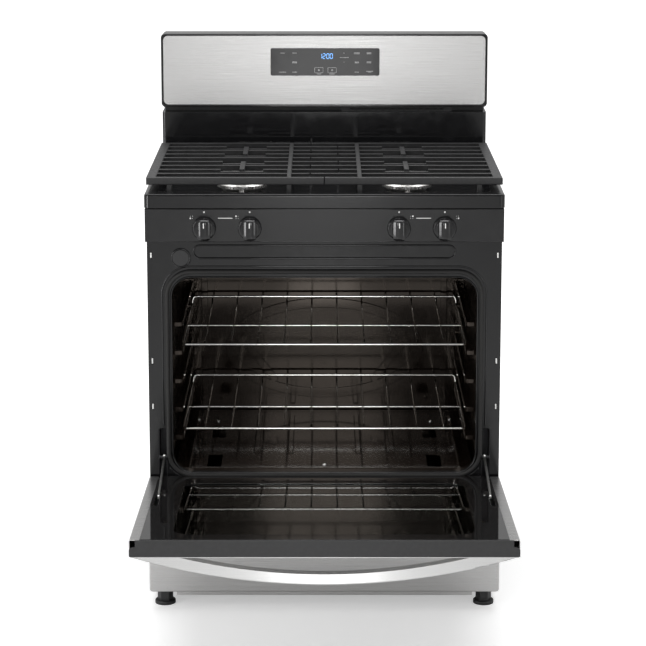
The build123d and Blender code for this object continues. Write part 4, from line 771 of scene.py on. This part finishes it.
# ---------------------------------------------------------------- door glass
# Two sheets of toughened glass: a wide inner one against the liner, and a smaller, darker outer one
# behind the window of the door's skin.
def clear_glass(name, tint, rough):
    """Toughened sheet glass: see-through, tinted in the mass."""
    material, tree, shader = new_material(name, tint, 0.0, rough)
    shader.inputs["Transmission Weight"].default_value = 1.0
    shader.inputs["IOR"].default_value = 1.5
    return material, tree, shader


inner_glass, tree, shader = clear_glass("inner_glass", (0.1, 0.11, 0.1), 0.0)
dress(inner_glass, "door_inner_glass")
outer_glass, tree, shader = clear_glass("outer_glass", (0.05, 0.055, 0.05), 0.0)
dress(outer_glass, "door_outer_glass")

# ---------------------------------------------------------------- door seal and insulation
# The door seal is a tube of woven glass fibre, dyed near black, hooked into the band round the mouth.
def even_steps(path, count):
    """A closed path laid out again as points at even steps along its length."""
    ring = np.concatenate([path, path[:1]])
    run = np.concatenate([[0.0], np.cumsum(np.linalg.norm(np.diff(ring, axis=0), axis=1))])
    at = np.linspace(0.0, run[-1], count, endpoint=False)
    return np.stack([np.interp(at, run, ring[:, axis]) for axis in range(3)], -1)


seal_low, seal_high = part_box("door_gasket")
SEAL_R = (seal_high[1] - seal_low[1]) / 2
SEAL_CORNER = 0.052
SEAL_STEPS = 1900
seal_half_x = (seal_high[0] - seal_low[0]) / 2 - SEAL_R
seal_y = (seal_low[1] + seal_high[1]) / 2
seal_loop = rounded_loop(seal_half_x, seal_low[2] + SEAL_R, seal_high[2] - SEAL_R, SEAL_CORNER, seal_y, 60)
seal_line = even_steps(seal_loop, SEAL_STEPS)
PLAITS = 260
STRANDS = 4
turn = np.linspace(0.0, 2.0 * pi, 16, endpoint=False)[None, :]
step = np.linspace(0.0, 2.0 * pi * PLAITS, len(seal_line), endpoint=False)[:, None]
# The tube's radius swells where a strand of one hand or the other lies on top.
swell = np.maximum(np.sin(step + STRANDS * turn), np.sin(step - STRANDS * turn))
radius = SEAL_R * (0.93 + 0.07 * swell)
along = np.roll(seal_line, -1, 0) - np.roll(seal_line, 1, 0)
side = np.cross(along, FRONT)
side /= np.linalg.norm(side, axis=1)[:, None]
seal_grid = (seal_line[:, None, :] + (radius * np.cos(turn))[..., None] * side[:, None, :]
             + (radius * np.sin(turn))[..., None] * FRONT)
seal = surface("door_seal", [(seal_grid, True, True)])
braid, tree, shader = new_material("gasket_braid", (0.012, 0.0115, 0.011), 0.0, 0.7)
fibre = noise_node(tree, tree.nodes.new("ShaderNodeTexCoord").outputs["Object"], 1400.0, 3.0, 0.7)
tree.links.new(mix_colour(tree, fibre.outputs["Fac"], (0.006, 0.006, 0.006), (0.022, 0.021, 0.02)),
               shader.inputs["Base Color"])
bump(tree, shader, fibre.outputs["Fac"], 0.5, 0.0002)
seal.data.materials.append(braid)
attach(seal, "chassis")
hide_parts("door_gasket")

# ---------------------------------------------------------------- door liner's ribs
# The liner's pan is pressed with a fine raised rib down each side of the window and across its far end.
DOOR_TILT = radians(86.3)
HINGE_Y = -0.056339
HINGE_Z = 0.274
LINER_OUT = 0.018          # the liner's face behind the hinge line, with the door shut
LINER_UP = np.array([0.0, cos(DOOR_TILT), sin(DOOR_TILT)])
RIB_X = 0.323
RIB_ENDS = (0.292, 0.782)
END_RIB_HALF = 0.3205


def on_liner(x, up):
    """A point of the liner's face from its place on the shut door, turned down about the hinge."""
    rise = up - HINGE_Z
    y = HINGE_Y + LINER_OUT * cos(DOOR_TILT) - rise * sin(DOOR_TILT)
    z = HINGE_Z + LINER_OUT * sin(DOOR_TILT) + rise * cos(DOOR_TILT)
    return np.stack([x, y, z], -1)


ribs = []
for side_x in (-RIB_X, RIB_X):
    run = np.linspace(*RIB_ENDS, 30)
    line = ends_eased(on_liner(np.full_like(run, side_x), run))
    ribs.append(bead(line, LINER_UP, 0.0011, 0.0012, False))
for at in RIB_ENDS:
    run = np.linspace(-END_RIB_HALF, END_RIB_HALF, 30)
    line = ends_eased(on_liner(run, np.full_like(run, at)))
    ribs.append(bead(line, LINER_UP, 0.0011, 0.0009, False))
liner_ribs = surface("liner_ribs", ribs)
# Painted highlight: the pressed ribs take the bright hinge steel instead of the liner's dark enamel, so they
# show as silver lines.
liner_ribs.data.materials.append(hinge_steel)
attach(liner_ribs, "door")

wool, tree, shader = new_material("insulation_wool", (0.75, 0.66, 0.36), 0.0, 0.95)
dress(wool, "oven_insulation")

# ---------------------------------------------------------------- screws of the back
# Zinc-plated pan-head tapping screws with a cross recess hold the back panel.
RECESS = 0.0009


def screw_head(x, z, face):
    """A pan head: a domed profile turned about y, with its cross pressed in near the middle wherever
    the cosine of twice the angle is near one or minus one."""
    turn = np.linspace(0.0, 2.0 * pi, 32, endpoint=False)
    reach = np.array([0.0, 0.0008, 0.0016, 0.0022, 0.0030, 0.0037, 0.0040, 0.0040, 0.0])[:, None]
    dome = np.array([0.0019, 0.0019, 0.0019, 0.0019, 0.0016, 0.0010, 0.0004, -0.0003, -0.0003])[:, None]
    cross = np.abs(np.cos(2.0 * turn)) ** 6 * (reach < 0.0021) * (dome > 0)
    out = face + dome - RECESS * cross
    return np.stack([x + reach * np.cos(turn), out, z + reach * np.sin(turn)], -1), False, True


panel_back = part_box("back_panel")[1][1] - 0.0016
SIDE_COLUMN = 0.366
SIDE_ROWS = (0.10, 0.29, 0.48, 0.67, 0.86)
panel_spots = [(side * SIDE_COLUMN, z) for side in (-1, 1) for z in SIDE_ROWS]
panel_spots += [(x, z) for x in (-0.18, 0.0, 0.18) for z in (0.075, 0.868)]
back_screws = surface("back_screws", [screw_head(x, z, panel_back) for x, z in panel_spots])
back_screws.data.materials.append(clip_zinc)
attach(back_screws, "chassis")
